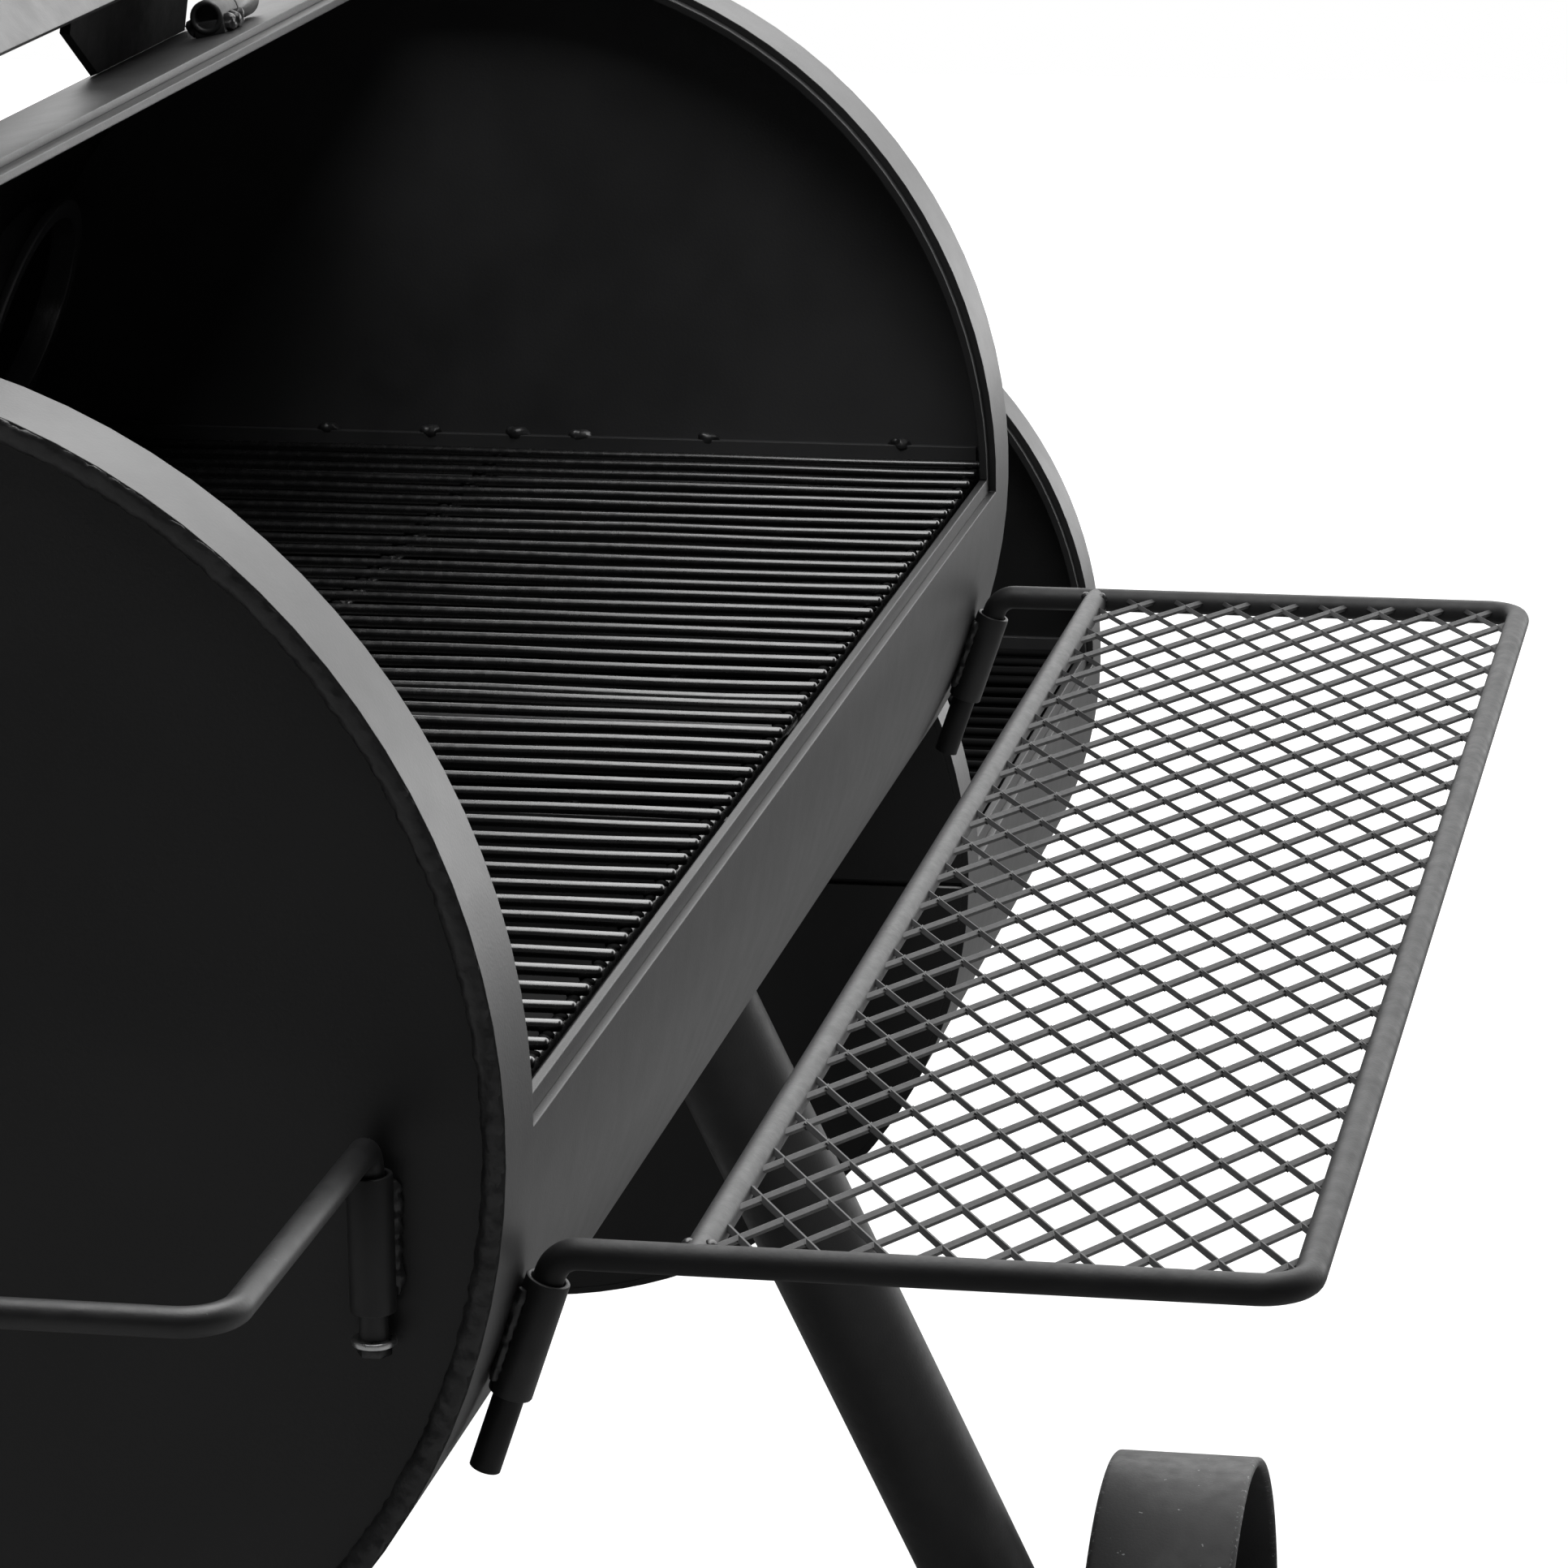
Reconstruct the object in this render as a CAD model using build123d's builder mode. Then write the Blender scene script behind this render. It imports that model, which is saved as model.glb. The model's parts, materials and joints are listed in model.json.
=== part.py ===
from build123d import *
import os
from math import cos, degrees, radians, sin, sqrt

# Offset smoker, shown with both lids swung open. Millimetres, +Z up, the floor at z = 0.
# +X runs from the tow handle to the firebox, -Y is the front, and the origin is the middle of the footprint.
# Angles round a barrel start at the front, level with its axis, and grow upwards over the top.

# Flats that stand for a circle on thin rods, on grate wires and on small discs, and those of a bolt head
rod_sides = 12
wire_sides = 8
disc_sides = 32
hex_sides = 6

# Cooking chamber
chamber_radius = 220
chamber_length = 924
axis_height = 690
shell_wall = 3
plate_wall = 3
plate_recess = 4
end_strip = 34
opening_front = -1.5
opening_rear = 97.5

# Flat bar lip inside each lid opening
lip_wall = 3
lip_reveal = 6
lip_overlap = 12
mitre_gap = 0.4

# Firebox
firebox_radius = 202
firebox_length = 414
firebox_drop = 184
firebox_strip = 27
firebox_front = 0
seam_gap = 2.5
seam_drop = 4
passage_top = 30
passage_margin = 15
passage_sill = 22

# Lids and their hinges
lid_gap = 2
lid_clearance = 0.4
lid_open = 124
knuckle_diameter = 13
hinge_pin_diameter = 6
hinge_lift = 0.5
hinge_angle = 101.7
hinge_inset = 234
firebox_hinge_inset = 96
lid_knuckle_length = 30
lug_length = 22
knuckle_gap = 0.5
strap_wall = 3
strap_angle = 22
pin_head_diameter = 11
pin_head_length = 3
running_clearance = 0.05

# Stop plates that lean on the barrel and hold the lids open
stop_wall = 4
stop_foot = 112
stop_offset = 16
stop_slant = 46
stop_angle = 111.8
stop_rise = 70
stop_tilt = 8
stop_gap = 0.3
firebox_stop_foot = 70
firebox_stop_slant = 12
firebox_stop_offset = 10

# Lid handles
handle_angle = 20
handle_standoff = 52
handle_diameter = 22
handle_length = 320
firebox_handle_length = 180
handle_arm_width = 20
handle_arm_wall = 5
handle_arm_inset = 24
handle_bevel = 3

# Temperature gauge on the cooking chamber lid
gauge_angle = 52
gauge_diameter = 76
gauge_depth = 16
gauge_wall = 2
gauge_stem_diameter = 8
gauge_stem_length = 58
dial_wall = 1
needle_length = 26
needle_tail = 9
needle_width = 3
needle_wall = 1
needle_lift = 1.2
lens_wall = 2
lens_drop = 1

# Grates
rod_diameter = 4
cross_rod_diameter = 6
left_grate_rods = 27
right_grate_rods = 22
firebox_grate_rods = 21
grate_half_depth = 211
firebox_grate_half_depth = 187
cross_rod_setback = 5
grate_meeting = 503
grate_gap = 6
left_grate_gap = 10.6
right_grate_gap = 4
firebox_grate_gap = 4
ledge_width = 18
ledge_wall = 3
ledge_half_length = 207
firebox_ledge_half_length = 184
crossbar_width = 30
crossbar_wall = 4

# Smokestack
stack_inset = 66
stack_angle = 161
stack_diameter = 89
stack_wall = 2
stack_offset = 292
stack_top = 656
stack_seat = 208
collar_wall = 3
collar_clearance = 0.5
collar_inside = 198
collar_outside = 243
collar_flange_width = 5
collar_flange_wall = 4
cap_overhang = 4
cap_wall = 2
cap_gap = 0.5
cap_pivot_offset = 57
cap_pin_diameter = 6
cap_lug_height = 14
cap_ear_radius = 11
cap_tab_length = 16

# Grease drain, hook and cup
drain_x = 330
drain_shift = 22
drain_diameter = 22
drain_wall = 2
drain_length = 22
hook_rod = 5
hook_offset = 30
hook_drop = 62
hook_reach = 8
hook_tip = 12
cup_radius = 42
cup_height = 66
cup_wall = 1.2
cup_rim = 3
cup_drop = 100
bail_rod = 3
bail_gap = 0.3
bail_shoulder = 24

# Front shelf of bent rod and expanded metal
shelf_rod = 9.5
shelf_drop = 48
shelf_reach = 440
shelf_inner_reach = 264
shelf_inset = 46
shelf_corner = 14
socket_outside = 13.4
socket_wall = 1.5
socket_length = 38
socket_angle = -19
shelf_elbow = 9
pin_below = 25
mesh_wall = 2
mesh_columns = 16
mesh_rows = 8
mesh_strand = 2.2

# Tow handle on the left end plate
tow_rod = 8.5
tow_reach = 150
tow_half_width = 181
tow_socket_length = 41
tow_socket_drop = 30
tow_rise = 8
tow_corner = 24
tow_elbow = 7
tow_pin_below = 8
tow_washer_diameter = 13
tow_washer_wall = 2
tow_bolt_size = 9
tow_bolt_length = 3

# Legs, axle and wheels
leg_diameter = 47
leg_wall = 2
leg_inset = 139
leg_angle = -61
leg_stance = 230
axle_overhang = 20
axle_diameter = 16
saddle_wall = 4
saddle_length = 96
saddle_span = 26
foot_diameter = 68
foot_height = 8
wheel_radius = 115
wheel_width = 65
wheel_rim_wall = 4
wheel_clearance = 6
hub_diameter = 36
spoke_width = 20
spoke_wall = 5
spoke_count = 6
axle_cap_diameter = 30
axle_cap_length = 12
axle_cap_gap = 0.5

# Bottom rack on two braces between the legs
rack_height = 143
brace_diameter = 20
rack_side_rod = 8
rack_rod = 5
rack_half_depth = 150
rack_rod_pitch = 60
rack_end_overhang = 14

# Firebox door, latch and air damper
door_width = 190
door_height = 140
door_centre_drop = 95
door_wall = 3
door_gap = 0.5
door_lap = 15
door_hinge_offset = 13
door_knuckle_diameter = 12
door_knuckle_length = 26
door_lug_length = 18
door_pin_diameter = 6
door_pin_standoff = 8
vent_radius = 11
vent_circle = 25
vent_count = 3
damper_radius = 43
damper_wall = 2
damper_gap = 0.4
damper_pivot_diameter = 6
damper_head_diameter = 14
damper_head_length = 3
damper_tab_width = 14
damper_tab_length = 22
latch_offset = 18
latch_width = 20
latch_wall = 4
latch_gap = 0.5
latch_length = 46
latch_pin_diameter = 8
latch_pin_head = 13
latch_head_wall = 3
latch_knob_diameter = 24
latch_knob_neck = 9
latch_knob_bevel = 4
door_reach = 50

# Whole object, worked out from the sizes above
chamber_inner = chamber_radius - shell_wall
firebox_inner = firebox_radius - shell_wall
tow_axis = plate_recess - socket_outside / 2
chamber_left = (tow_reach + tow_rod / 2 - chamber_length - firebox_length - door_reach) / 2
chamber_right = chamber_left + chamber_length
chamber_middle = (chamber_left + chamber_right) / 2
firebox_right = chamber_right + firebox_length
wheel_inside = leg_stance + leg_diameter / 2 + wheel_clearance
wheel_outside = wheel_inside + wheel_width
axle_reach = wheel_outside + axle_cap_gap + axle_cap_length
axis_y = (shelf_reach + shelf_rod / 2 - axle_reach) / 2
axis_z = axis_height
firebox_z = axis_z - firebox_drop
axle_x = chamber_right + axle_overhang
grate_z = axis_z
rod_turn = 180 / rod_sides
wire_turn = 180 / wire_sides
ledge_top = grate_z - rod_diameter / 2 - cross_rod_diameter
firebox_grate_z = firebox_z
firebox_ledge_top = firebox_grate_z - rod_diameter / 2 - cross_rod_diameter


def rim_point(radius, angle):
    # Y and Z of a point on a circle about a barrel axis
    return (-radius * cos(radians(angle)), radius * sin(radians(angle)))


def barrel_plane(x, y, z):
    # Section plane of a barrel: local x is +Y, local y is +Z, and the normal is +X
    return Plane(origin=(x, y, z), x_dir=(0, 1, 0), z_dir=(1, 0, 0))


def swung_plane(plane, pivot, angle):
    # The same section plane after a turn about an X axis through the pivot, given from the barrel axis
    turn = radians(angle)
    moved_y = pivot[0] - pivot[0] * cos(turn) + pivot[1] * sin(turn)
    moved_z = pivot[1] - pivot[0] * sin(turn) - pivot[1] * cos(turn)
    origin = plane.origin + Vector(0, moved_y, moved_z)
    return Plane(origin=origin, x_dir=(0, cos(turn), sin(turn)), z_dir=(1, 0, 0))


def radial_plane(plane, along, angle):
    # Plane through a barrel axis whose normal points straight out of the barrel at an angle
    out_y, out_z = rim_point(1, angle)
    out = plane.x_dir * out_y + plane.y_dir * out_z
    return Plane(origin=plane.origin + plane.z_dir * along, x_dir=plane.z_dir, z_dir=out)


def arc_band(inner, outer, start, stop):
    # Ring sector between two angles, drawn about the local origin
    with BuildSketch() as band:
        with BuildLine():
            low = CenterArc((0, 0), inner, 180 - stop, stop - start)
            high = CenterArc((0, 0), outer, 180 - stop, stop - start)
            Line(low @ 0, high @ 0)
            Line(low @ 1, high @ 1)
        make_face()
    return band.sketch


def bent_rod(points, diameter, bends):
    # Thin rod along straight runs joined by tangent bends
    with BuildPart() as rod:
        with BuildLine() as path:
            FilletPolyline(*points, radius=bends)
        with BuildSketch(Plane(origin=path.line @ 0, z_dir=path.line % 0)):
            RegularPolygon(diameter / 2, wire_sides)
        sweep()
    return rod.part


def folded_wire(points, diameter):
    # Thin wire with sharp folds
    with BuildPart() as wire:
        with BuildLine() as path:
            Polyline(*points)
        with BuildSketch(Plane(origin=path.line @ 0, z_dir=path.line % 0)):
            RegularPolygon(diameter / 2, wire_sides)
        sweep(transition=Transition.RIGHT)
    return wire.part


def socket_ring():
    # Section of a socket tube, with a flat towards the sheet that it is welded to
    with BuildSketch() as ring:
        RegularPolygon(socket_outside / 2, rod_sides, major_radius=False, rotation=rod_turn)
        RegularPolygon(
            socket_outside / 2 - socket_wall,
            rod_sides,
            major_radius=False,
            rotation=rod_turn,
            mode=Mode.SUBTRACT,
        )
    return ring.sketch


def straight_rod(start, end, diameter):
    # Round bar between two points
    with BuildPart() as rod:
        with BuildSketch(Plane(origin=start, z_dir=Vector(end) - Vector(start))):
            Circle(diameter / 2)
        extrude(amount=(Vector(end) - Vector(start)).length)
    return rod.part


def open_shell(plane, radius, length, strip, front, rear):
    # Rolled barrel with its lid opening cut out of the wall
    with BuildPart() as shell:
        with BuildSketch(plane):
            Circle(radius)
            Circle(radius - shell_wall, mode=Mode.SUBTRACT)
        extrude(amount=length)
        with BuildSketch(plane.offset(strip)):
            add(arc_band(radius - 2 * shell_wall, radius + shell_wall, front, rear))
        extrude(amount=length - 2 * strip, mode=Mode.SUBTRACT)
    return shell.part


def lip_frame(plane, radius, length, strip, front, rear):
    # Four flat bars round the lid opening, mitred at the corners and proud of the cut edge
    outer = radius - shell_wall
    inner = outer - lip_wall
    reveal = degrees(lip_reveal / outer)
    overlap = degrees(lip_overlap / outer)
    corners = [(strip, front, 1), (strip, rear, -1), (length - strip, front, -1), (length - strip, rear, 1)]
    with BuildPart() as lip:
        with BuildSketch(plane.offset(strip - lip_overlap)):
            add(arc_band(inner, outer, front - overlap, rear + overlap))
        extrude(amount=length - 2 * strip + 2 * lip_overlap)
        with BuildSketch(plane.offset(strip + lip_reveal)):
            add(arc_band(inner - lip_wall, radius, front + reveal, rear - reveal))
        extrude(amount=length - 2 * strip - 2 * lip_reveal, mode=Mode.SUBTRACT)
        for along, angle, side in corners:
            spot_y, spot_z = rim_point(outer, angle)
            radial = Vector(0, *rim_point(1, angle))
            tangent = Vector(0, sin(radians(angle)), cos(radians(angle)))
            spot = plane.origin + Vector(along, spot_y, spot_z)
            with Locations(Plane(origin=spot, x_dir=Vector(1, 0, 0) + tangent * side, z_dir=radial)):
                Box(4 * lip_overlap, mitre_gap, 4 * lip_wall, mode=Mode.SUBTRACT)
    return lip.part


def lid_sheet(plane, radius, length, strip, front, rear):
    # Curved lid that fills the opening and seats just above the lip
    inner = radius - shell_wall + lid_clearance
    edge = degrees(lid_gap / radius)
    with BuildPart() as sheet:
        with BuildSketch(plane.offset(strip + lid_gap)):
            add(arc_band(inner, inner + shell_wall, front + edge, rear - edge))
        extrude(amount=length - 2 * strip - 2 * lid_gap)
    return sheet.part


def hinge_radius(radius):
    # Distance of a lid hinge axis from its barrel axis
    return radius + hinge_lift + knuckle_diameter / 2


def lid_knuckles(plane, radius, rear, stations):
    # Strap leaves on the lid with a rolled knuckle on the hinge axis
    seat = radius + lid_clearance
    axis = rim_point(hinge_radius(radius), hinge_angle)
    bore = hinge_pin_diameter + 2 * running_clearance
    with BuildPart() as leaves:
        for station in stations:
            with BuildSketch(plane.offset(station - lid_knuckle_length / 2)):
                add(arc_band(seat, seat + strap_wall, rear - strap_angle, hinge_angle))
                with Locations(axis):
                    RegularPolygon(knuckle_diameter / 2, rod_sides)
                    Circle(bore / 2, mode=Mode.SUBTRACT)
            extrude(amount=lid_knuckle_length)
    return leaves.part


def barrel_lugs(plane, radius, stations):
    # Hinge lugs welded to the barrel beside the lid knuckles, each with its pin
    axis = rim_point(hinge_radius(radius), hinge_angle)
    half_foot = degrees(knuckle_diameter / 2 / radius)
    pin_reach = lid_knuckle_length + 2 * knuckle_gap
    with BuildPart() as lugs:
        for station in stations:
            start = station - lid_knuckle_length / 2 - knuckle_gap - lug_length
            with BuildSketch(plane.offset(start)):
                add(arc_band(radius, hinge_radius(radius), hinge_angle - half_foot, hinge_angle + half_foot))
                with Locations(axis):
                    RegularPolygon(knuckle_diameter / 2, rod_sides)
            extrude(amount=lug_length)
            with BuildSketch(plane.offset(start + lug_length)):
                with Locations(axis):
                    Circle(hinge_pin_diameter / 2)
            extrude(amount=pin_reach)
            with BuildSketch(plane.offset(start + lug_length + pin_reach)):
                with Locations(axis):
                    RegularPolygon(pin_head_diameter / 2, hex_sides)
            extrude(amount=pin_head_length)
    return lugs.part


def lid_stops(plane, lid_plane, radius, length, feet, straps, foot, slant):
    # Slanted plates from the open lid down to the back of the barrel, notched round the hinge straps
    foot_y, foot_z = rim_point(radius + stop_gap, stop_angle)
    rise = Vector(0, -sin(radians(stop_tilt)), cos(radians(stop_tilt)))
    with BuildPart() as stops:
        for station, side in feet:
            corner = plane.origin + Vector(station, foot_y, foot_z)
            across = Vector(side, 0, 0)
            with BuildSketch(Plane(origin=corner, x_dir=across, z_dir=across.cross(rise))):
                with BuildLine():
                    Polyline(
                        (-foot / 2, 0),
                        (foot / 2, 0),
                        (foot / 2, stop_rise),
                        (-foot / 2 - slant, stop_rise),
                        (-foot / 2 - slant, slant / 2),
                        close=True,
                    )
                make_face()
            extrude(amount=stop_wall * side)
        with BuildSketch(plane):
            Circle(radius + stop_gap)
        extrude(amount=length, mode=Mode.SUBTRACT)
        with BuildSketch(lid_plane):
            Circle(radius + lid_clearance)
        extrude(amount=length, mode=Mode.SUBTRACT)
        with BuildSketch(*[lid_plane.offset(station - lid_knuckle_length / 2) for station in straps]):
            Circle(radius + lid_clearance + strap_wall)
        extrude(amount=lid_knuckle_length, mode=Mode.SUBTRACT)
    return stops.part


def handle_arms(plane, radius, middle, length):
    # Two flat arms from the lid to the underside of its grip
    seat = radius + lid_clearance
    grip = rim_point(seat + handle_standoff, handle_angle)
    centre = rim_point(seat + handle_standoff / 2, handle_angle)
    reach = length / 2 - handle_arm_inset
    with BuildPart() as arms:
        for station in (middle - reach, middle + reach):
            with BuildSketch(plane.offset(station - handle_arm_wall / 2)):
                with Locations(Location((*centre, 0), (0, 0, -handle_angle))):
                    Rectangle(handle_standoff + shell_wall, handle_arm_width)
                with Locations(grip):
                    RegularPolygon(handle_diameter / 2, rod_sides, major_radius=False, mode=Mode.SUBTRACT)
                Circle(seat, mode=Mode.SUBTRACT)
            extrude(amount=handle_arm_wall)
    return arms.part


def handle_grip(plane, radius, middle, length):
    # Grip with bevelled ends
    grip = rim_point(radius + lid_clearance + handle_standoff, handle_angle)
    with BuildPart() as bar:
        with BuildSketch(plane.offset(middle - length / 2)):
            with Locations(grip):
                RegularPolygon(handle_diameter / 2, rod_sides, major_radius=False)
        extrude(amount=length)
        chamfer(bar.faces().filter_by(Axis.X).edges(), length=handle_bevel)
    return bar.part


def rod_grate(x_start, x_end, count, half_depth, height):
    # Grate of rods from front to back, welded on three cross rods
    length = x_end - x_start
    pitch = (length - rod_diameter) / (count - 1)
    cross_z = height - rod_diameter / 2 - cross_rod_diameter / 2
    cross_y = half_depth - cross_rod_setback
    with BuildPart() as grate:
        with BuildSketch(Plane.XZ.offset(half_depth - axis_y)):
            with Locations((x_start + length / 2, height)):
                with GridLocations(pitch, 1, count, 1):
                    RegularPolygon(rod_diameter / 2, wire_sides, major_radius=False, rotation=wire_turn)
        extrude(amount=-2 * half_depth)
        with BuildSketch(Plane.YZ.offset(x_start)):
            with Locations((axis_y - cross_y, cross_z), (axis_y, cross_z), (axis_y + cross_y, cross_z)):
                RegularPolygon(cross_rod_diameter / 2, wire_sides, major_radius=False, rotation=wire_turn)
        extrude(amount=length)
    return grate.part


def angle_ledge(x_face, facing, half_length, top):
    # Steel angle on an end plate: the flat carries the grate, the upright is tacked to the plate
    with BuildPart() as ledge:
        with BuildSketch(Plane.XZ.offset(half_length - axis_y)):
            with BuildLine():
                Polyline(
                    (x_face, top - ledge_wall),
                    (x_face + facing * ledge_width, top - ledge_wall),
                    (x_face + facing * ledge_width, top),
                    (x_face + facing * ledge_wall, top),
                    (x_face + facing * ledge_wall, top + ledge_width - ledge_wall),
                    (x_face, top + ledge_width - ledge_wall),
                    close=True,
                )
            make_face()
        extrude(amount=-2 * half_length)
    return ledge.part


def leg_point(end, side, height):
    # Point on a leg's centre line at a height; end is +1 at the firebox, side is +1 at the back
    drop_y, drop_z = rim_point(chamber_radius, leg_angle)
    top = Vector(chamber_middle + end * (chamber_length / 2 - leg_inset), axis_y - side * drop_y, axis_z + drop_z)
    low = Vector(chamber_middle + end * (chamber_length / 2 + axle_overhang), axis_y + side * leg_stance, wheel_radius)
    return low + (top - low) * ((height - wheel_radius) / (top.Z - wheel_radius))


def leg_bar(end, side, bottom, diameter):
    # Solid round bar along a leg, cut level at the bottom and coped to its saddle at the top
    with BuildPart() as bar:
        add(straight_rod(leg_point(end, side, bottom - leg_diameter), leg_point(end, side, axis_z), diameter))
        with BuildSketch(chamber_plane):
            Circle(chamber_radius + saddle_wall)
        extrude(amount=chamber_length, mode=Mode.SUBTRACT)
        split(bisect_by=Plane.XY.offset(bottom), keep=Keep.TOP)
    return bar.part


def leg_tube(end, side, bottom):
    # Hollow leg
    with BuildPart() as tube:
        add(leg_bar(end, side, bottom, leg_diameter))
        add(leg_bar(end, side, bottom, leg_diameter - 2 * leg_wall), mode=Mode.SUBTRACT)
    return tube.part


def road_wheel(inside, outside):
    # Steel band wheel: open rim, flat spokes and a long hub on the axle
    middle = Vector(axle_x, (inside + outside) / 2, wheel_radius)
    side_plane = Plane(origin=(axle_x, inside, wheel_radius), z_dir=(0, outside - inside, 0))
    spoke_length = wheel_radius - wheel_rim_wall / 2
    with BuildPart() as wheel:
        with BuildSketch(side_plane):
            Circle(wheel_radius)
            Circle(wheel_radius - wheel_rim_wall, mode=Mode.SUBTRACT)
        extrude(amount=wheel_width)
        with BuildSketch(side_plane):
            RegularPolygon(hub_diameter / 2, rod_sides)
        extrude(amount=wheel_width)
        for number in range(spoke_count):
            turn = 360 * number / spoke_count
            with Locations(Location(middle, (0, turn, 0))):
                Box(spoke_length, spoke_width, spoke_wall, align=(Align.MIN, Align.CENTER, Align.CENTER))
        with BuildSketch(side_plane):
            Circle(axle_diameter / 2 + running_clearance)
        extrude(amount=wheel_width, mode=Mode.SUBTRACT)
    return wheel.part


chamber_plane = barrel_plane(chamber_left, axis_y, axis_z)
chamber_pivot = rim_point(hinge_radius(chamber_radius), hinge_angle)
lid_plane = swung_plane(chamber_plane, chamber_pivot, -lid_open)
chamber_hinges = [hinge_inset, chamber_length - hinge_inset]

firebox_plane = barrel_plane(chamber_right, axis_y, firebox_z)
firebox_pivot = rim_point(hinge_radius(firebox_radius), hinge_angle)
firebox_lid_plane = swung_plane(firebox_plane, firebox_pivot, -lid_open)
firebox_hinges = [firebox_hinge_inset, firebox_length - firebox_hinge_inset]

pieces = {}

# Cooking chamber shell, with the stack port in the back wall and the drain hole underneath
stack_plane = radial_plane(chamber_plane, chamber_length - stack_inset, stack_angle)
stack_x = stack_plane.origin.X
stack_out = stack_plane.z_dir
collar_bore = stack_diameter + 2 * collar_clearance
collar_outer = collar_bore + 2 * collar_wall
drain_plane = Plane(origin=(chamber_left + drain_x, axis_y - drain_shift, axis_z), z_dir=(0, 0, -1))
with BuildPart() as chamber_shell:
    add(open_shell(chamber_plane, chamber_radius, chamber_length, end_strip, opening_front, opening_rear))
    with BuildSketch(stack_plane):
        RegularPolygon(collar_outer / 2, disc_sides)
    extrude(amount=chamber_radius + shell_wall, mode=Mode.SUBTRACT)
    with BuildSketch(drain_plane):
        RegularPolygon(drain_diameter / 2 - drain_wall, rod_sides)
    extrude(amount=chamber_radius + shell_wall, mode=Mode.SUBTRACT)
pieces["chamber_shell"] = chamber_shell

with BuildPart() as chamber_left_plate:
    with BuildSketch(chamber_plane.offset(plate_recess)):
        Circle(chamber_inner)
    extrude(amount=plate_wall)
pieces["chamber_left_plate"] = chamber_left_plate

# Opening that lets heat and smoke from the firebox in below the grates
with BuildSketch() as passage:
    Circle(chamber_inner - passage_margin)
    with Locations((0, -firebox_drop)):
        Circle(firebox_inner - passage_margin, mode=Mode.INTERSECT)
    with Locations((0, -(passage_top + firebox_drop - passage_sill) / 2)):
        Rectangle(2 * chamber_radius, firebox_drop - passage_sill - passage_top, mode=Mode.INTERSECT)

with BuildPart() as chamber_right_plate:
    with BuildSketch(chamber_plane.offset(chamber_length - plate_wall)):
        Circle(chamber_inner)
        add(passage.sketch, mode=Mode.SUBTRACT)
    extrude(amount=plate_wall)
pieces["chamber_right_plate"] = chamber_right_plate

with BuildPart() as chamber_lip:
    add(lip_frame(chamber_plane, chamber_radius, chamber_length, end_strip, opening_front, opening_rear))
pieces["chamber_lip"] = chamber_lip

left_face = chamber_left + plate_recess + plate_wall
right_face = chamber_right - plate_wall
firebox_left_face = chamber_right + plate_wall
firebox_right_face = firebox_right - plate_wall
with BuildPart() as grate_ledges:
    add(angle_ledge(left_face, 1, ledge_half_length, ledge_top))
    add(angle_ledge(right_face, -1, ledge_half_length, ledge_top))
    add(angle_ledge(firebox_left_face, 1, firebox_ledge_half_length, firebox_ledge_top))
    add(angle_ledge(firebox_right_face, -1, firebox_ledge_half_length, firebox_ledge_top))
pieces["grate_ledges"] = grate_ledges

# Flat bar from wall to wall where the two grates meet
grate_joint = chamber_left + grate_meeting
with BuildPart() as grate_crossbar:
    with BuildSketch(barrel_plane(grate_joint - crossbar_width / 2, axis_y, axis_z)):
        with Locations((0, ledge_top - axis_z - crossbar_wall / 2)):
            Rectangle(2 * chamber_radius, crossbar_wall)
        Circle(chamber_inner, mode=Mode.INTERSECT)
    extrude(amount=crossbar_width)
    add(chamber_lip.part, mode=Mode.SUBTRACT)
pieces["grate_crossbar"] = grate_crossbar

left_grate_start = left_face + left_grate_gap
left_grate_end = grate_joint - grate_gap / 2
with BuildPart() as left_grate:
    add(rod_grate(left_grate_start, left_grate_end, left_grate_rods, grate_half_depth, grate_z))
pieces["left_grate"] = left_grate

right_grate_start = grate_joint + grate_gap / 2
right_grate_end = right_face - right_grate_gap
with BuildPart() as right_grate:
    add(rod_grate(right_grate_start, right_grate_end, right_grate_rods, grate_half_depth, grate_z))
pieces["right_grate"] = right_grate

with BuildPart() as hinge_lugs:
    add(barrel_lugs(chamber_plane, chamber_radius, chamber_hinges))
    add(barrel_lugs(firebox_plane, firebox_radius, firebox_hinges))
pieces["hinge_lugs"] = hinge_lugs

# Smokestack, its collar through the back wall, and the swivel cap on top
with BuildPart() as stack_collar:
    with BuildSketch(stack_plane.offset(collar_inside)):
        RegularPolygon(collar_outer / 2, disc_sides)
        RegularPolygon(collar_bore / 2, disc_sides, mode=Mode.SUBTRACT)
    extrude(amount=collar_outside - collar_inside)
    with BuildSketch(stack_plane.offset(collar_inside)):
        RegularPolygon(collar_outer / 2 + collar_flange_width, disc_sides)
        RegularPolygon(collar_bore / 2, disc_sides, mode=Mode.SUBTRACT)
    extrude(amount=collar_flange_wall)
pieces["stack_collar"] = stack_collar

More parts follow.
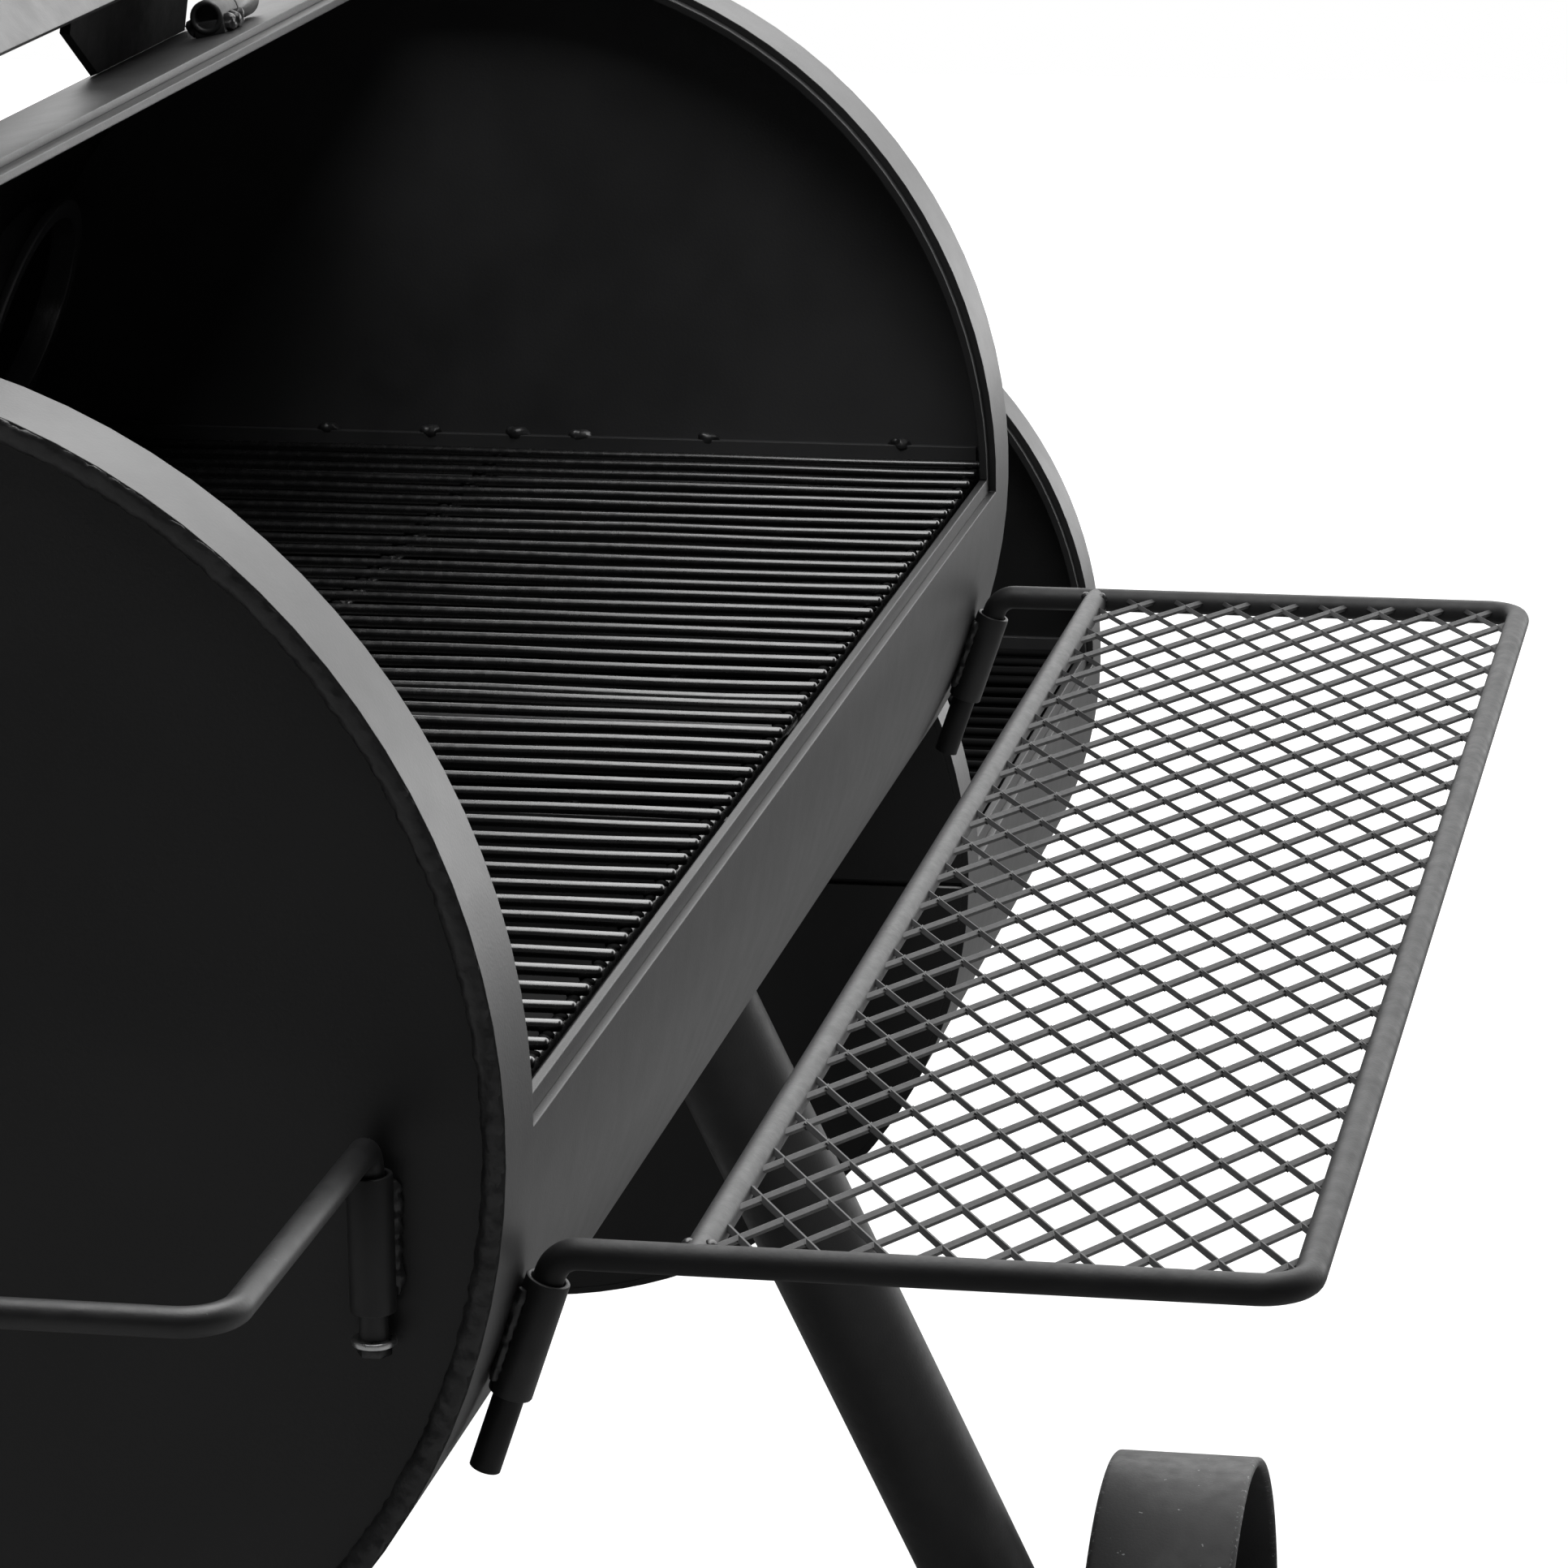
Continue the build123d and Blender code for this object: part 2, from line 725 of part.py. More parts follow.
stack_y = axis_y + stack_offset
stack_elbow_z = axis_z + stack_offset * stack_out.Z / stack_out.Y
stack_top_z = axis_z + stack_top
cap_pivot_x = stack_x + cap_pivot_offset
with BuildPart() as smokestack:
    with BuildLine() as stack_path:
        Polyline(
            stack_plane.origin + stack_out * stack_seat,
            (stack_x, stack_y, stack_elbow_z),
            (stack_x, stack_y, stack_top_z),
        )
    with BuildSketch(Plane(origin=stack_path.line @ 0, x_dir=(1, 0, 0), z_dir=stack_path.line % 0)):
        RegularPolygon(stack_diameter / 2, disc_sides)
        RegularPolygon(stack_diameter / 2 - stack_wall, disc_sides, mode=Mode.SUBTRACT)
    sweep(transition=Transition.RIGHT)
    with BuildSketch(Plane.XY.offset(stack_top_z)):
        with Locations(((cap_pivot_x + stack_x) / 2, stack_y)):
            Rectangle(cap_pivot_offset + 2 * cap_ear_radius, 2 * cap_ear_radius)
        with Locations((stack_x, stack_y)):
            RegularPolygon(stack_diameter / 2 - stack_wall, disc_sides, mode=Mode.SUBTRACT)
    extrude(amount=-cap_lug_height)
    with BuildSketch(Plane.XY.offset(stack_top_z)):
        with Locations((cap_pivot_x, stack_y)):
            Circle(cap_pin_diameter / 2)
    extrude(amount=2 * cap_gap + cap_wall)
    with BuildSketch(Plane.XY.offset(stack_top_z + 2 * cap_gap + cap_wall)):
        with Locations((cap_pivot_x, stack_y)):
            RegularPolygon(cap_ear_radius - cap_wall, hex_sides)
    extrude(amount=cap_wall)
pieces["smokestack"] = smokestack

cap_radius = stack_diameter / 2 + cap_overhang
with BuildPart() as stack_cap:
    with BuildSketch(Plane.XY.offset(stack_top_z + cap_gap)):
        with Locations((stack_x, stack_y)):
            RegularPolygon(cap_radius, disc_sides)
        with Locations(((cap_pivot_x + stack_x) / 2, stack_y)):
            Rectangle(cap_pivot_offset + 2 * cap_ear_radius, 2 * cap_ear_radius)
        with Locations((stack_x - cap_radius, stack_y)):
            Rectangle(2 * cap_tab_length, cap_tab_length)
        with Locations((cap_pivot_x, stack_y)):
            Circle(cap_pin_diameter / 2 + running_clearance, mode=Mode.SUBTRACT)
    extrude(amount=cap_wall)
pieces["stack_cap"] = stack_cap

# Grease drain spout with a hook beside it for the cup, both welded under the barrel
cup_x = chamber_left + drain_x
hook_y = axis_y + hook_offset
hook_z = axis_z - chamber_radius - hook_drop
with BuildPart() as drain_fittings:
    with BuildSketch(drain_plane):
        RegularPolygon(drain_diameter / 2, rod_sides)
    extrude(amount=chamber_radius + drain_length)
    add(
        folded_wire(
            [
                (cup_x, hook_y, axis_z),
                (cup_x, hook_y, hook_z),
                (cup_x, axis_y - hook_reach, hook_z),
                (cup_x, axis_y - hook_reach, hook_z + hook_tip),
            ],
            hook_rod,
        )
    )
    with BuildSketch(chamber_plane):
        Circle(chamber_radius)
    extrude(amount=chamber_length, mode=Mode.SUBTRACT)
    with BuildSketch(drain_plane):
        RegularPolygon(drain_diameter / 2 - drain_wall, rod_sides)
    extrude(amount=chamber_radius + drain_length, mode=Mode.SUBTRACT)
pieces["drain_fittings"] = drain_fittings

cup_top = axis_z - chamber_radius - cup_drop
with BuildPart() as grease_cup:
    with BuildSketch(Plane.XY.offset(cup_top - cup_height)):
        with Locations((cup_x, axis_y)):
            RegularPolygon(cup_radius, disc_sides)
    extrude(amount=cup_height)
    with BuildSketch(Plane.XY.offset(cup_top - cup_rim)):
        with Locations((cup_x, axis_y)):
            RegularPolygon(cup_radius + cup_rim, disc_sides)
    extrude(amount=cup_rim)
    with BuildSketch(Plane.XY.offset(cup_top - cup_height + cup_wall)):
        with Locations((cup_x, axis_y)):
            RegularPolygon(cup_radius - cup_wall, disc_sides)
    extrude(amount=cup_height, mode=Mode.SUBTRACT)
pieces["grease_cup"] = grease_cup

# Bail from rim to rim, hung over the hook
bail_top = hook_z + hook_rod / 2 + bail_gap + bail_rod / 2
with BuildPart() as cup_bail:
    add(
        folded_wire(
            [
                (cup_x - cup_radius, axis_y, cup_top),
                (cup_x - cup_radius, axis_y, bail_top - bail_shoulder),
                (cup_x - cup_radius + bail_shoulder, axis_y, bail_top),
                (cup_x + cup_radius - bail_shoulder, axis_y, bail_top),
                (cup_x + cup_radius, axis_y, bail_top - bail_shoulder),
                (cup_x + cup_radius, axis_y, cup_top),
            ],
            bail_rod,
        )
    )
pieces["cup_bail"] = cup_bail

# Cooking chamber lid, drawn in the open position
gauge_plane = radial_plane(lid_plane, chamber_length / 2, gauge_angle)
gauge_seat = chamber_radius + lid_clearance
with BuildPart() as lid_shell:
    add(lid_sheet(lid_plane, chamber_radius, chamber_length, end_strip, opening_front, opening_rear))
    with BuildSketch(gauge_plane):
        RegularPolygon(gauge_stem_diameter / 2, wire_sides)
    extrude(amount=chamber_radius + shell_wall, mode=Mode.SUBTRACT)
pieces["lid_shell"] = lid_shell

with BuildPart() as lid_hinge_leaves:
    add(lid_knuckles(lid_plane, chamber_radius, opening_rear, chamber_hinges))
pieces["lid_hinge_leaves"] = lid_hinge_leaves

with BuildPart() as lid_stop_plates:
    chamber_feet = [(chamber_hinges[0] + stop_offset, -1), (chamber_hinges[1] - stop_offset, 1)]
    add(
        lid_stops(
            chamber_plane,
            lid_plane,
            chamber_radius,
            chamber_length,
            chamber_feet,
            chamber_hinges,
            stop_foot,
            stop_slant,
        )
    )
pieces["lid_stop_plates"] = lid_stop_plates

with BuildPart() as lid_handle_arms:
    add(handle_arms(lid_plane, chamber_radius, chamber_length / 2, handle_length))
pieces["lid_handle_arms"] = lid_handle_arms

with BuildPart() as lid_handle:
    add(handle_grip(lid_plane, chamber_radius, chamber_length / 2, handle_length))
pieces["lid_handle"] = lid_handle

# Temperature gauge: cup shaped case on a stem through the lid, dial, needle and lens
with BuildPart() as gauge_case:
    with BuildSketch(gauge_plane.offset(gauge_seat)):
        RegularPolygon(gauge_diameter / 2, disc_sides)
    extrude(amount=gauge_depth)
    with BuildSketch(gauge_plane.offset(gauge_seat + gauge_wall)):
        RegularPolygon(gauge_diameter / 2 - gauge_wall, disc_sides)
    extrude(amount=gauge_depth, mode=Mode.SUBTRACT)
    with BuildSketch(gauge_plane.offset(gauge_seat)):
        RegularPolygon(gauge_stem_diameter / 2, wire_sides)
    extrude(amount=-gauge_stem_length)
pieces["gauge_case"] = gauge_case

with BuildPart() as gauge_dial:
    with BuildSketch(gauge_plane.offset(gauge_seat + gauge_wall)):
        RegularPolygon(gauge_diameter / 2 - gauge_wall, disc_sides)
        Circle(needle_width / 2 + running_clearance, mode=Mode.SUBTRACT)
    extrude(amount=dial_wall)
pieces["gauge_dial"] = gauge_dial

needle_seat = gauge_seat + gauge_wall + dial_wall
with BuildPart() as gauge_needle:
    with BuildSketch(gauge_plane.offset(needle_seat + needle_lift)):
        with BuildLine():
            Polyline(
                (0, needle_length),
                (-needle_width / 2, -needle_tail),
                (needle_width / 2, -needle_tail),
                close=True,
            )
        make_face()
        RegularPolygon(needle_width, wire_sides)
    extrude(amount=needle_wall)
    with BuildSketch(gauge_plane.offset(needle_seat + needle_lift)):
        Circle(needle_width / 2)
    extrude(amount=-needle_lift - dial_wall / 2)
pieces["gauge_needle"] = gauge_needle

with BuildPart() as gauge_lens:
    with BuildSketch(gauge_plane.offset(gauge_seat + gauge_depth - lens_drop)):
        RegularPolygon(gauge_diameter / 2 - gauge_wall, disc_sides)
    extrude(amount=-lens_wall)
pieces["gauge_lens"] = gauge_lens

# Firebox shell and its end plates; the plate against the chamber is in two halves
with BuildPart() as firebox_shell:
    add(open_shell(firebox_plane, firebox_radius, firebox_length, firebox_strip, firebox_front, opening_rear))
pieces["firebox_shell"] = firebox_shell

passage_in_firebox = passage.sketch.moved(Location((0, firebox_drop, 0)))
with BuildPart() as firebox_upper_plate:
    with BuildSketch(firebox_plane):
        Circle(firebox_inner)
        with Locations((0, firebox_radius - seam_drop + seam_gap / 2)):
            Rectangle(2 * firebox_radius, 2 * firebox_radius, mode=Mode.INTERSECT)
        add(passage_in_firebox, mode=Mode.SUBTRACT)
    extrude(amount=plate_wall)
pieces["firebox_upper_plate"] = firebox_upper_plate

with BuildPart() as firebox_lower_plate:
    with BuildSketch(firebox_plane):
        Circle(firebox_inner)
        with Locations((0, -firebox_radius - seam_drop - seam_gap / 2)):
            Rectangle(2 * firebox_radius, 2 * firebox_radius, mode=Mode.INTERSECT)
    extrude(amount=plate_wall)
pieces["firebox_lower_plate"] = firebox_lower_plate

with BuildPart() as firebox_outer_plate:
    with BuildSketch(firebox_plane.offset(firebox_length - plate_wall)):
        Circle(firebox_inner)
        with Locations((0, -door_centre_drop)):
            Rectangle(door_width - 2 * door_lap, door_height - 2 * door_lap, mode=Mode.SUBTRACT)
    extrude(amount=plate_wall)
pieces["firebox_outer_plate"] = firebox_outer_plate

with BuildPart() as firebox_lip:
    add(lip_frame(firebox_plane, firebox_radius, firebox_length, firebox_strip, firebox_front, opening_rear))
pieces["firebox_lip"] = firebox_lip

firebox_grate_start = firebox_left_face + firebox_grate_gap
firebox_grate_end = firebox_right_face - firebox_grate_gap
with BuildPart() as firebox_grate:
    add(
        rod_grate(
            firebox_grate_start,
            firebox_grate_end,
            firebox_grate_rods,
            firebox_grate_half_depth,
            firebox_grate_z,
        )
    )
pieces["firebox_grate"] = firebox_grate

# Firebox lid, also drawn open
with BuildPart() as firebox_lid_shell:
    add(lid_sheet(firebox_lid_plane, firebox_radius, firebox_length, firebox_strip, firebox_front, opening_rear))
pieces["firebox_lid_shell"] = firebox_lid_shell

with BuildPart() as firebox_lid_leaves:
    add(lid_knuckles(firebox_lid_plane, firebox_radius, opening_rear, firebox_hinges))
pieces["firebox_lid_leaves"] = firebox_lid_leaves

with BuildPart() as firebox_lid_stops:
    firebox_feet = [(firebox_hinges[0] + firebox_stop_offset, -1), (firebox_hinges[1] - firebox_stop_offset, 1)]
    add(
        lid_stops(
            firebox_plane,
            firebox_lid_plane,
            firebox_radius,
            firebox_length,
            firebox_feet,
            firebox_hinges,
            firebox_stop_foot,
            firebox_stop_slant,
        )
    )
pieces["firebox_lid_stops"] = firebox_lid_stops

with BuildPart() as firebox_handle_arms:
    add(handle_arms(firebox_lid_plane, firebox_radius, firebox_length / 2, firebox_handle_length))
pieces["firebox_handle_arms"] = firebox_handle_arms

with BuildPart() as firebox_handle:
    add(handle_grip(firebox_lid_plane, firebox_radius, firebox_length / 2, firebox_handle_length))
pieces["firebox_handle"] = firebox_handle

# Firebox door on two lift-off hinges, with an air damper drawn shut and a turn latch
door_plane = barrel_plane(firebox_right, axis_y, firebox_z - door_centre_drop)
door_face = door_gap + door_wall
with BuildPart() as door_panel:
    with BuildSketch(door_plane.offset(door_gap)):
        RectangleRounded(door_width, door_height, door_lap / 2)
        with PolarLocations(vent_circle, vent_count):
            RegularPolygon(vent_radius, rod_sides, mode=Mode.SUBTRACT)
    extrude(amount=door_wall)
pieces["door_panel"] = door_panel

door_pin_x = firebox_right + door_pin_standoff
door_pin_y = axis_y + door_width / 2 + door_hinge_offset
hinge_rise = door_height / 2 - door_lug_length - door_knuckle_length / 2
hinge_levels = [door_plane.origin.Z - hinge_rise, door_plane.origin.Z + hinge_rise]
leaf_reach = 2 * door_hinge_offset
with BuildPart() as door_leaves:
    for level in hinge_levels:
        with BuildSketch(Plane.XY.offset(level)):
            with Locations((firebox_right + door_face + strap_wall / 2, door_pin_y - leaf_reach)):
                Rectangle(strap_wall, 2 * leaf_reach)
            with Locations((door_pin_x, door_pin_y)):
                RegularPolygon(door_knuckle_diameter / 2, rod_sides)
                Circle(door_pin_diameter / 2 + running_clearance, mode=Mode.SUBTRACT)
        extrude(amount=door_knuckle_length)
pieces["door_leaves"] = door_leaves

latch_plane = barrel_plane(firebox_right, axis_y - door_width / 2 - latch_offset, firebox_z - door_centre_drop)
latch_seat = door_face + latch_gap
with BuildPart() as door_fittings:
    for level in hinge_levels:
        with BuildSketch(Plane.XY.offset(level - knuckle_gap)):
            with Locations((firebox_right + door_pin_standoff / 2, door_pin_y)):
                Rectangle(door_pin_standoff, door_knuckle_diameter)
            with Locations((door_pin_x, door_pin_y)):
                RegularPolygon(door_knuckle_diameter / 2, rod_sides)
        extrude(amount=-door_lug_length)
        with BuildSketch(Plane.XY.offset(level - knuckle_gap)):
            with Locations((door_pin_x, door_pin_y)):
                Circle(door_pin_diameter / 2)
        extrude(amount=knuckle_gap + door_knuckle_length + knuckle_gap)
    with BuildSketch(latch_plane):
        RegularPolygon(latch_pin_head / 2, hex_sides)
    extrude(amount=door_face)
    with BuildSketch(latch_plane):
        Circle(latch_pin_diameter / 2)
    extrude(amount=latch_seat + latch_wall + latch_gap)
    with BuildSketch(latch_plane.offset(latch_seat + latch_wall + latch_gap)):
        RegularPolygon(latch_pin_head / 2, hex_sides)
    extrude(amount=latch_head_wall)
pieces["door_fittings"] = door_fittings

with BuildPart() as air_damper:
    with BuildSketch(door_plane.offset(door_face + damper_gap)):
        RegularPolygon(damper_radius, disc_sides)
        with Locations((0, damper_radius)):
            Rectangle(damper_tab_width, 2 * damper_tab_length)
        with PolarLocations(vent_circle, vent_count, start_angle=180 / vent_count):
            RegularPolygon(vent_radius, rod_sides, mode=Mode.SUBTRACT)
        Circle(damper_pivot_diameter / 2 + running_clearance, mode=Mode.SUBTRACT)
    extrude(amount=damper_wall)
pieces["air_damper"] = air_damper

with BuildPart() as damper_rivet:
    with BuildSketch(door_plane.offset(door_face)):
        Circle(damper_pivot_diameter / 2)
    extrude(amount=2 * damper_gap + damper_wall)
    with BuildSketch(door_plane.offset(door_face + 2 * damper_gap + damper_wall)):
        RegularPolygon(damper_head_diameter / 2, hex_sides)
    extrude(amount=damper_head_length)
pieces["damper_rivet"] = damper_rivet

# Turn latch with a knob, whose end is the farthest point of the object towards +X
with BuildPart() as latch:
    with BuildSketch(latch_plane.offset(latch_seat)):
        with Locations((0, latch_length / 2)):
            Rectangle(latch_width, latch_length + latch_width)
        Circle(latch_pin_diameter / 2 + running_clearance, mode=Mode.SUBTRACT)
    extrude(amount=latch_wall)
    with BuildSketch(latch_plane.offset(latch_seat)):
        with Locations((0, latch_length)):
            RegularPolygon(latch_knob_neck / 2, rod_sides)
    extrude(amount=door_reach - latch_knob_diameter - latch_seat)
    with BuildSketch(latch_plane.offset(door_reach - latch_knob_diameter)):
        with Locations((0, latch_length)):
            RegularPolygon(latch_knob_diameter / 2, rod_sides)
    extrude(amount=latch_knob_diameter)
    chamfer(latch.faces().sort_by(Axis.X)[-1].edges(), length=latch_knob_bevel)
pieces["latch"] = latch

# Front shelf: pins drop into sockets on the barrel, bent rod frame, inner bar and expanded metal
socket_up = Vector(0, sin(radians(socket_angle)), cos(radians(socket_angle)))
socket_y, socket_z = rim_point(chamber_radius + socket_outside / 2, socket_angle)
shelf_z = axis_z - shelf_drop
shelf_ends = [chamber_left + shelf_inset, chamber_right - shelf_inset]
elbow_rise = (-shelf_drop - socket_z) / socket_up.Z
with BuildPart() as shelf_sockets:
    for end_x in shelf_ends:
        foot = Vector(end_x, axis_y + socket_y, axis_z + socket_z) - socket_up * (socket_length / 2)
        with BuildSketch(Plane(origin=foot, x_dir=(1, 0, 0), z_dir=socket_up)):
            add(socket_ring())
        extrude(amount=socket_length)
pieces["shelf_sockets"] = shelf_sockets

shelf_front = axis_y - shelf_reach
pin_run = []
for end_x in shelf_ends:
    centre = Vector(end_x, axis_y + socket_y, axis_z + socket_z)
    tip = centre - socket_up * (socket_length / 2 + pin_below)
    elbow = centre + socket_up * elbow_rise
    pin_run.append([tip, elbow, Vector(end_x, shelf_front, shelf_z)])
with BuildPart() as shelf_frame:
    add(
        bent_rod(
            [*pin_run[0], *reversed(pin_run[1])],
            shelf_rod,
            (shelf_elbow, shelf_corner, shelf_corner, shelf_elbow),
        )
    )
pieces["shelf_frame"] = shelf_frame

shelf_inner = axis_y - shelf_inner_reach
with BuildPart() as shelf_inner_bar:
    add(straight_rod((shelf_ends[0], shelf_inner, shelf_z), (shelf_ends[1], shelf_inner, shelf_z), shelf_rod))
    with BuildSketch(*[Plane(origin=(x, shelf_front, shelf_z), z_dir=(0, 1, 0)) for x in shelf_ends]):
        Circle(shelf_rod / 2)
    extrude(amount=shelf_reach, mode=Mode.SUBTRACT)
pieces["shelf_inner_bar"] = shelf_inner_bar

mesh_length = shelf_ends[1] - shelf_ends[0] - shelf_rod
mesh_depth = shelf_reach - shelf_inner_reach - shelf_rod
mesh_long_pitch = mesh_length / mesh_columns
mesh_short_pitch = mesh_depth / mesh_rows
strand_run = sqrt(mesh_long_pitch**2 + mesh_short_pitch**2)
gap_half_long = (mesh_long_pitch - mesh_strand * strand_run / mesh_short_pitch) / 2
gap_half_short = (mesh_short_pitch - mesh_strand * strand_run / mesh_long_pitch) / 2
gap_outline = [(gap_half_long, 0), (0, gap_half_short), (-gap_half_long, 0), (0, -gap_half_short)]
mesh_centre = Vector(chamber_middle, (shelf_front + shelf_inner) / 2, shelf_z - mesh_wall / 2)
with BuildPart() as shelf_mesh:
    with BuildSketch(Plane(origin=mesh_centre)) as sheet:
        Rectangle(mesh_length, mesh_depth)
        fillet(sheet.vertices().group_by(Axis.Y)[0], radius=shelf_corner - shelf_rod / 2)
        with GridLocations(mesh_long_pitch, mesh_short_pitch, mesh_columns + 2, mesh_rows + 2):
            Polygon(*gap_outline, mode=Mode.SUBTRACT)
        with Locations((mesh_long_pitch / 2, mesh_short_pitch / 2)):
            with GridLocations(mesh_long_pitch, mesh_short_pitch, mesh_columns + 2, mesh_rows + 2):
                Polygon(*gap_outline, mode=Mode.SUBTRACT)
    extrude(amount=mesh_wall)
pieces["shelf_mesh"] = shelf_mesh

# Tow handle in two sockets on the left end plate, kept in by a washer and bolt below each
tow_x = chamber_left + tow_axis
tow_sides = [axis_y - tow_half_width, axis_y + tow_half_width]
tow_middle = axis_z - tow_socket_drop
tow_bottom = tow_middle - tow_socket_length / 2 - tow_pin_below
tow_level = tow_middle + tow_socket_length / 2 + tow_rise
with BuildPart() as tow_sockets:
    with BuildSketch(Plane.XY.offset(tow_middle - tow_socket_length / 2)):
        with Locations((tow_x, tow_sides[0]), (tow_x, tow_sides[1])):
            add(socket_ring())
    extrude(amount=tow_socket_length)
pieces["tow_sockets"] = tow_sockets

with BuildPart() as tow_handle:
    add(
        bent_rod(
            [
                (tow_x, tow_sides[0], tow_bottom),
                (tow_x, tow_sides[0], tow_level),
                (chamber_left - tow_reach, tow_sides[0], tow_level),
                (chamber_left - tow_reach, tow_sides[1], tow_level),
                (tow_x, tow_sides[1], tow_level),
                (tow_x, tow_sides[1], tow_bottom),
            ],
            tow_rod,
            (tow_elbow, tow_corner, tow_corner, tow_elbow),
        )
    )
pieces["tow_handle"] = tow_handle

with BuildPart() as tow_bolts:
    with BuildSketch(Plane.XY.offset(tow_bottom)):
        with Locations((tow_x, tow_sides[0]), (tow_x, tow_sides[1])):
            RegularPolygon(tow_washer_diameter / 2, rod_sides)
    extrude(amount=-tow_washer_wall)
    with BuildSketch(Plane.XY.offset(tow_bottom - tow_washer_wall)):
        with Locations((tow_x, tow_sides[0]), (tow_x, tow_sides[1])):
            RegularPolygon(tow_bolt_size / 2, hex_sides, major_radius=False)
    extrude(amount=-tow_bolt_length)
pieces["tow_bolts"] = tow_bolts

# Legs: the pair at the tow handle stands on pads, the pair at the firebox is welded down on the axle
with BuildPart() as leg_saddles:
    for station in (leg_inset, chamber_length - leg_inset):
        with BuildSketch(chamber_plane.offset(station - saddle_length / 2)):
            for middle in (leg_angle, 180 - leg_angle):
                start = middle - saddle_span / 2
                add(arc_band(chamber_radius, chamber_radius + saddle_wall, start, start + saddle_span))
        extrude(amount=saddle_length)
pieces["leg_saddles"] = leg_saddles

with BuildPart() as front_foot_leg:
    add(leg_tube(-1, -1, foot_height))
pieces["front_foot_leg"] = front_foot_leg

with BuildPart() as rear_foot_leg:
    add(leg_tube(-1, 1, foot_height))
pieces["rear_foot_leg"] = rear_foot_leg

axle_top = wheel_radius + axle_diameter / 2
with BuildPart() as front_wheel_leg:
    add(leg_tube(1, -1, axle_top))
pieces["front_wheel_leg"] = front_wheel_leg

with BuildPart() as rear_wheel_leg:
    add(leg_tube(1, 1, axle_top))
pieces["rear_wheel_leg"] = rear_wheel_leg

with BuildPart() as leg_feet:
    for side in (-1, 1):
        foot = leg_point(-1, side, foot_height)
        with BuildSketch(Plane.XY):
            with Locations((foot.X, foot.Y)):
                RegularPolygon(foot_diameter / 2, disc_sides)
        extrude(amount=foot_height)
pieces["leg_feet"] = leg_feet

axle_plane = Plane(origin=(axle_x, axis_y - axle_reach, wheel_radius), z_dir=(0, 1, 0))
with BuildPart() as axle:
    with BuildSketch(axle_plane.offset(axle_cap_length)):
        Circle(axle_diameter / 2)
    extrude(amount=2 * axle_reach - 2 * axle_cap_length)
pieces["axle"] = axle

with BuildPart() as axle_caps:
    with BuildSketch(axle_plane, axle_plane.offset(2 * axle_reach - axle_cap_length)):
        RegularPolygon(axle_cap_diameter / 2, disc_sides)
    extrude(amount=axle_cap_length)
pieces["axle_caps"] = axle_caps

with BuildPart() as front_wheel:
    add(road_wheel(axis_y - wheel_inside, axis_y - wheel_outside))
pieces["front_wheel"] = front_wheel

with BuildPart() as rear_wheel:
    add(road_wheel(axis_y + wheel_inside, axis_y + wheel_outside))
pieces["rear_wheel"] = rear_wheel

# Two braces between the legs carry the bottom rack
brace_z = rack_height - brace_diameter / 2
with BuildPart() as leg_braces:
    for end in (-1, 1):
        add(straight_rod(leg_point(end, -1, brace_z), leg_point(end, 1, brace_z), brace_diameter))
        for side in (-1, 1):
            add(leg_bar(end, side, wheel_radius, leg_diameter), mode=Mode.SUBTRACT)
pieces["leg_braces"] = leg_braces

rack_start = leg_point(-1, 1, brace_z).X - rack_end_overhang
rack_length = leg_point(1, 1, brace_z).X + rack_end_overhang - rack_start
rack_rods = int(rack_length / rack_rod_pitch)
rack_rod_z = rack_height + rack_side_rod + rack_rod / 2
with BuildPart() as bottom_rack:
    with BuildSketch(Plane.YZ.offset(rack_start)):
        with Locations((axis_y, rack_height + rack_side_rod / 2)):
            with GridLocations(2 * rack_half_depth, 1, 2, 1):
                RegularPolygon(rack_side_rod / 2, wire_sides, major_radius=False, rotation=wire_turn)
    extrude(amount=rack_length)
    with BuildSketch(Plane.XZ.offset(rack_half_depth + rack_side_rod / 2 - axis_y)):
        with Locations((rack_start + rack_length / 2, rack_rod_z)):
            with GridLocations(rack_rod_pitch, 1, rack_rods, 1):
                RegularPolygon(rack_rod / 2, wire_sides, major_radius=False, rotation=wire_turn)
    extrude(amount=-2 * rack_half_depth - rack_side_rod)
pieces["bottom_rack"] = bottom_rack

os.makedirs("parts", exist_ok=True)
for label, piece in pieces.items():
    piece.part.label = label
    export_step(piece.part, f"parts/{label}.step")
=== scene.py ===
import bpy
import bmesh
import json
import math
from mathutils import Matrix, Vector, noise


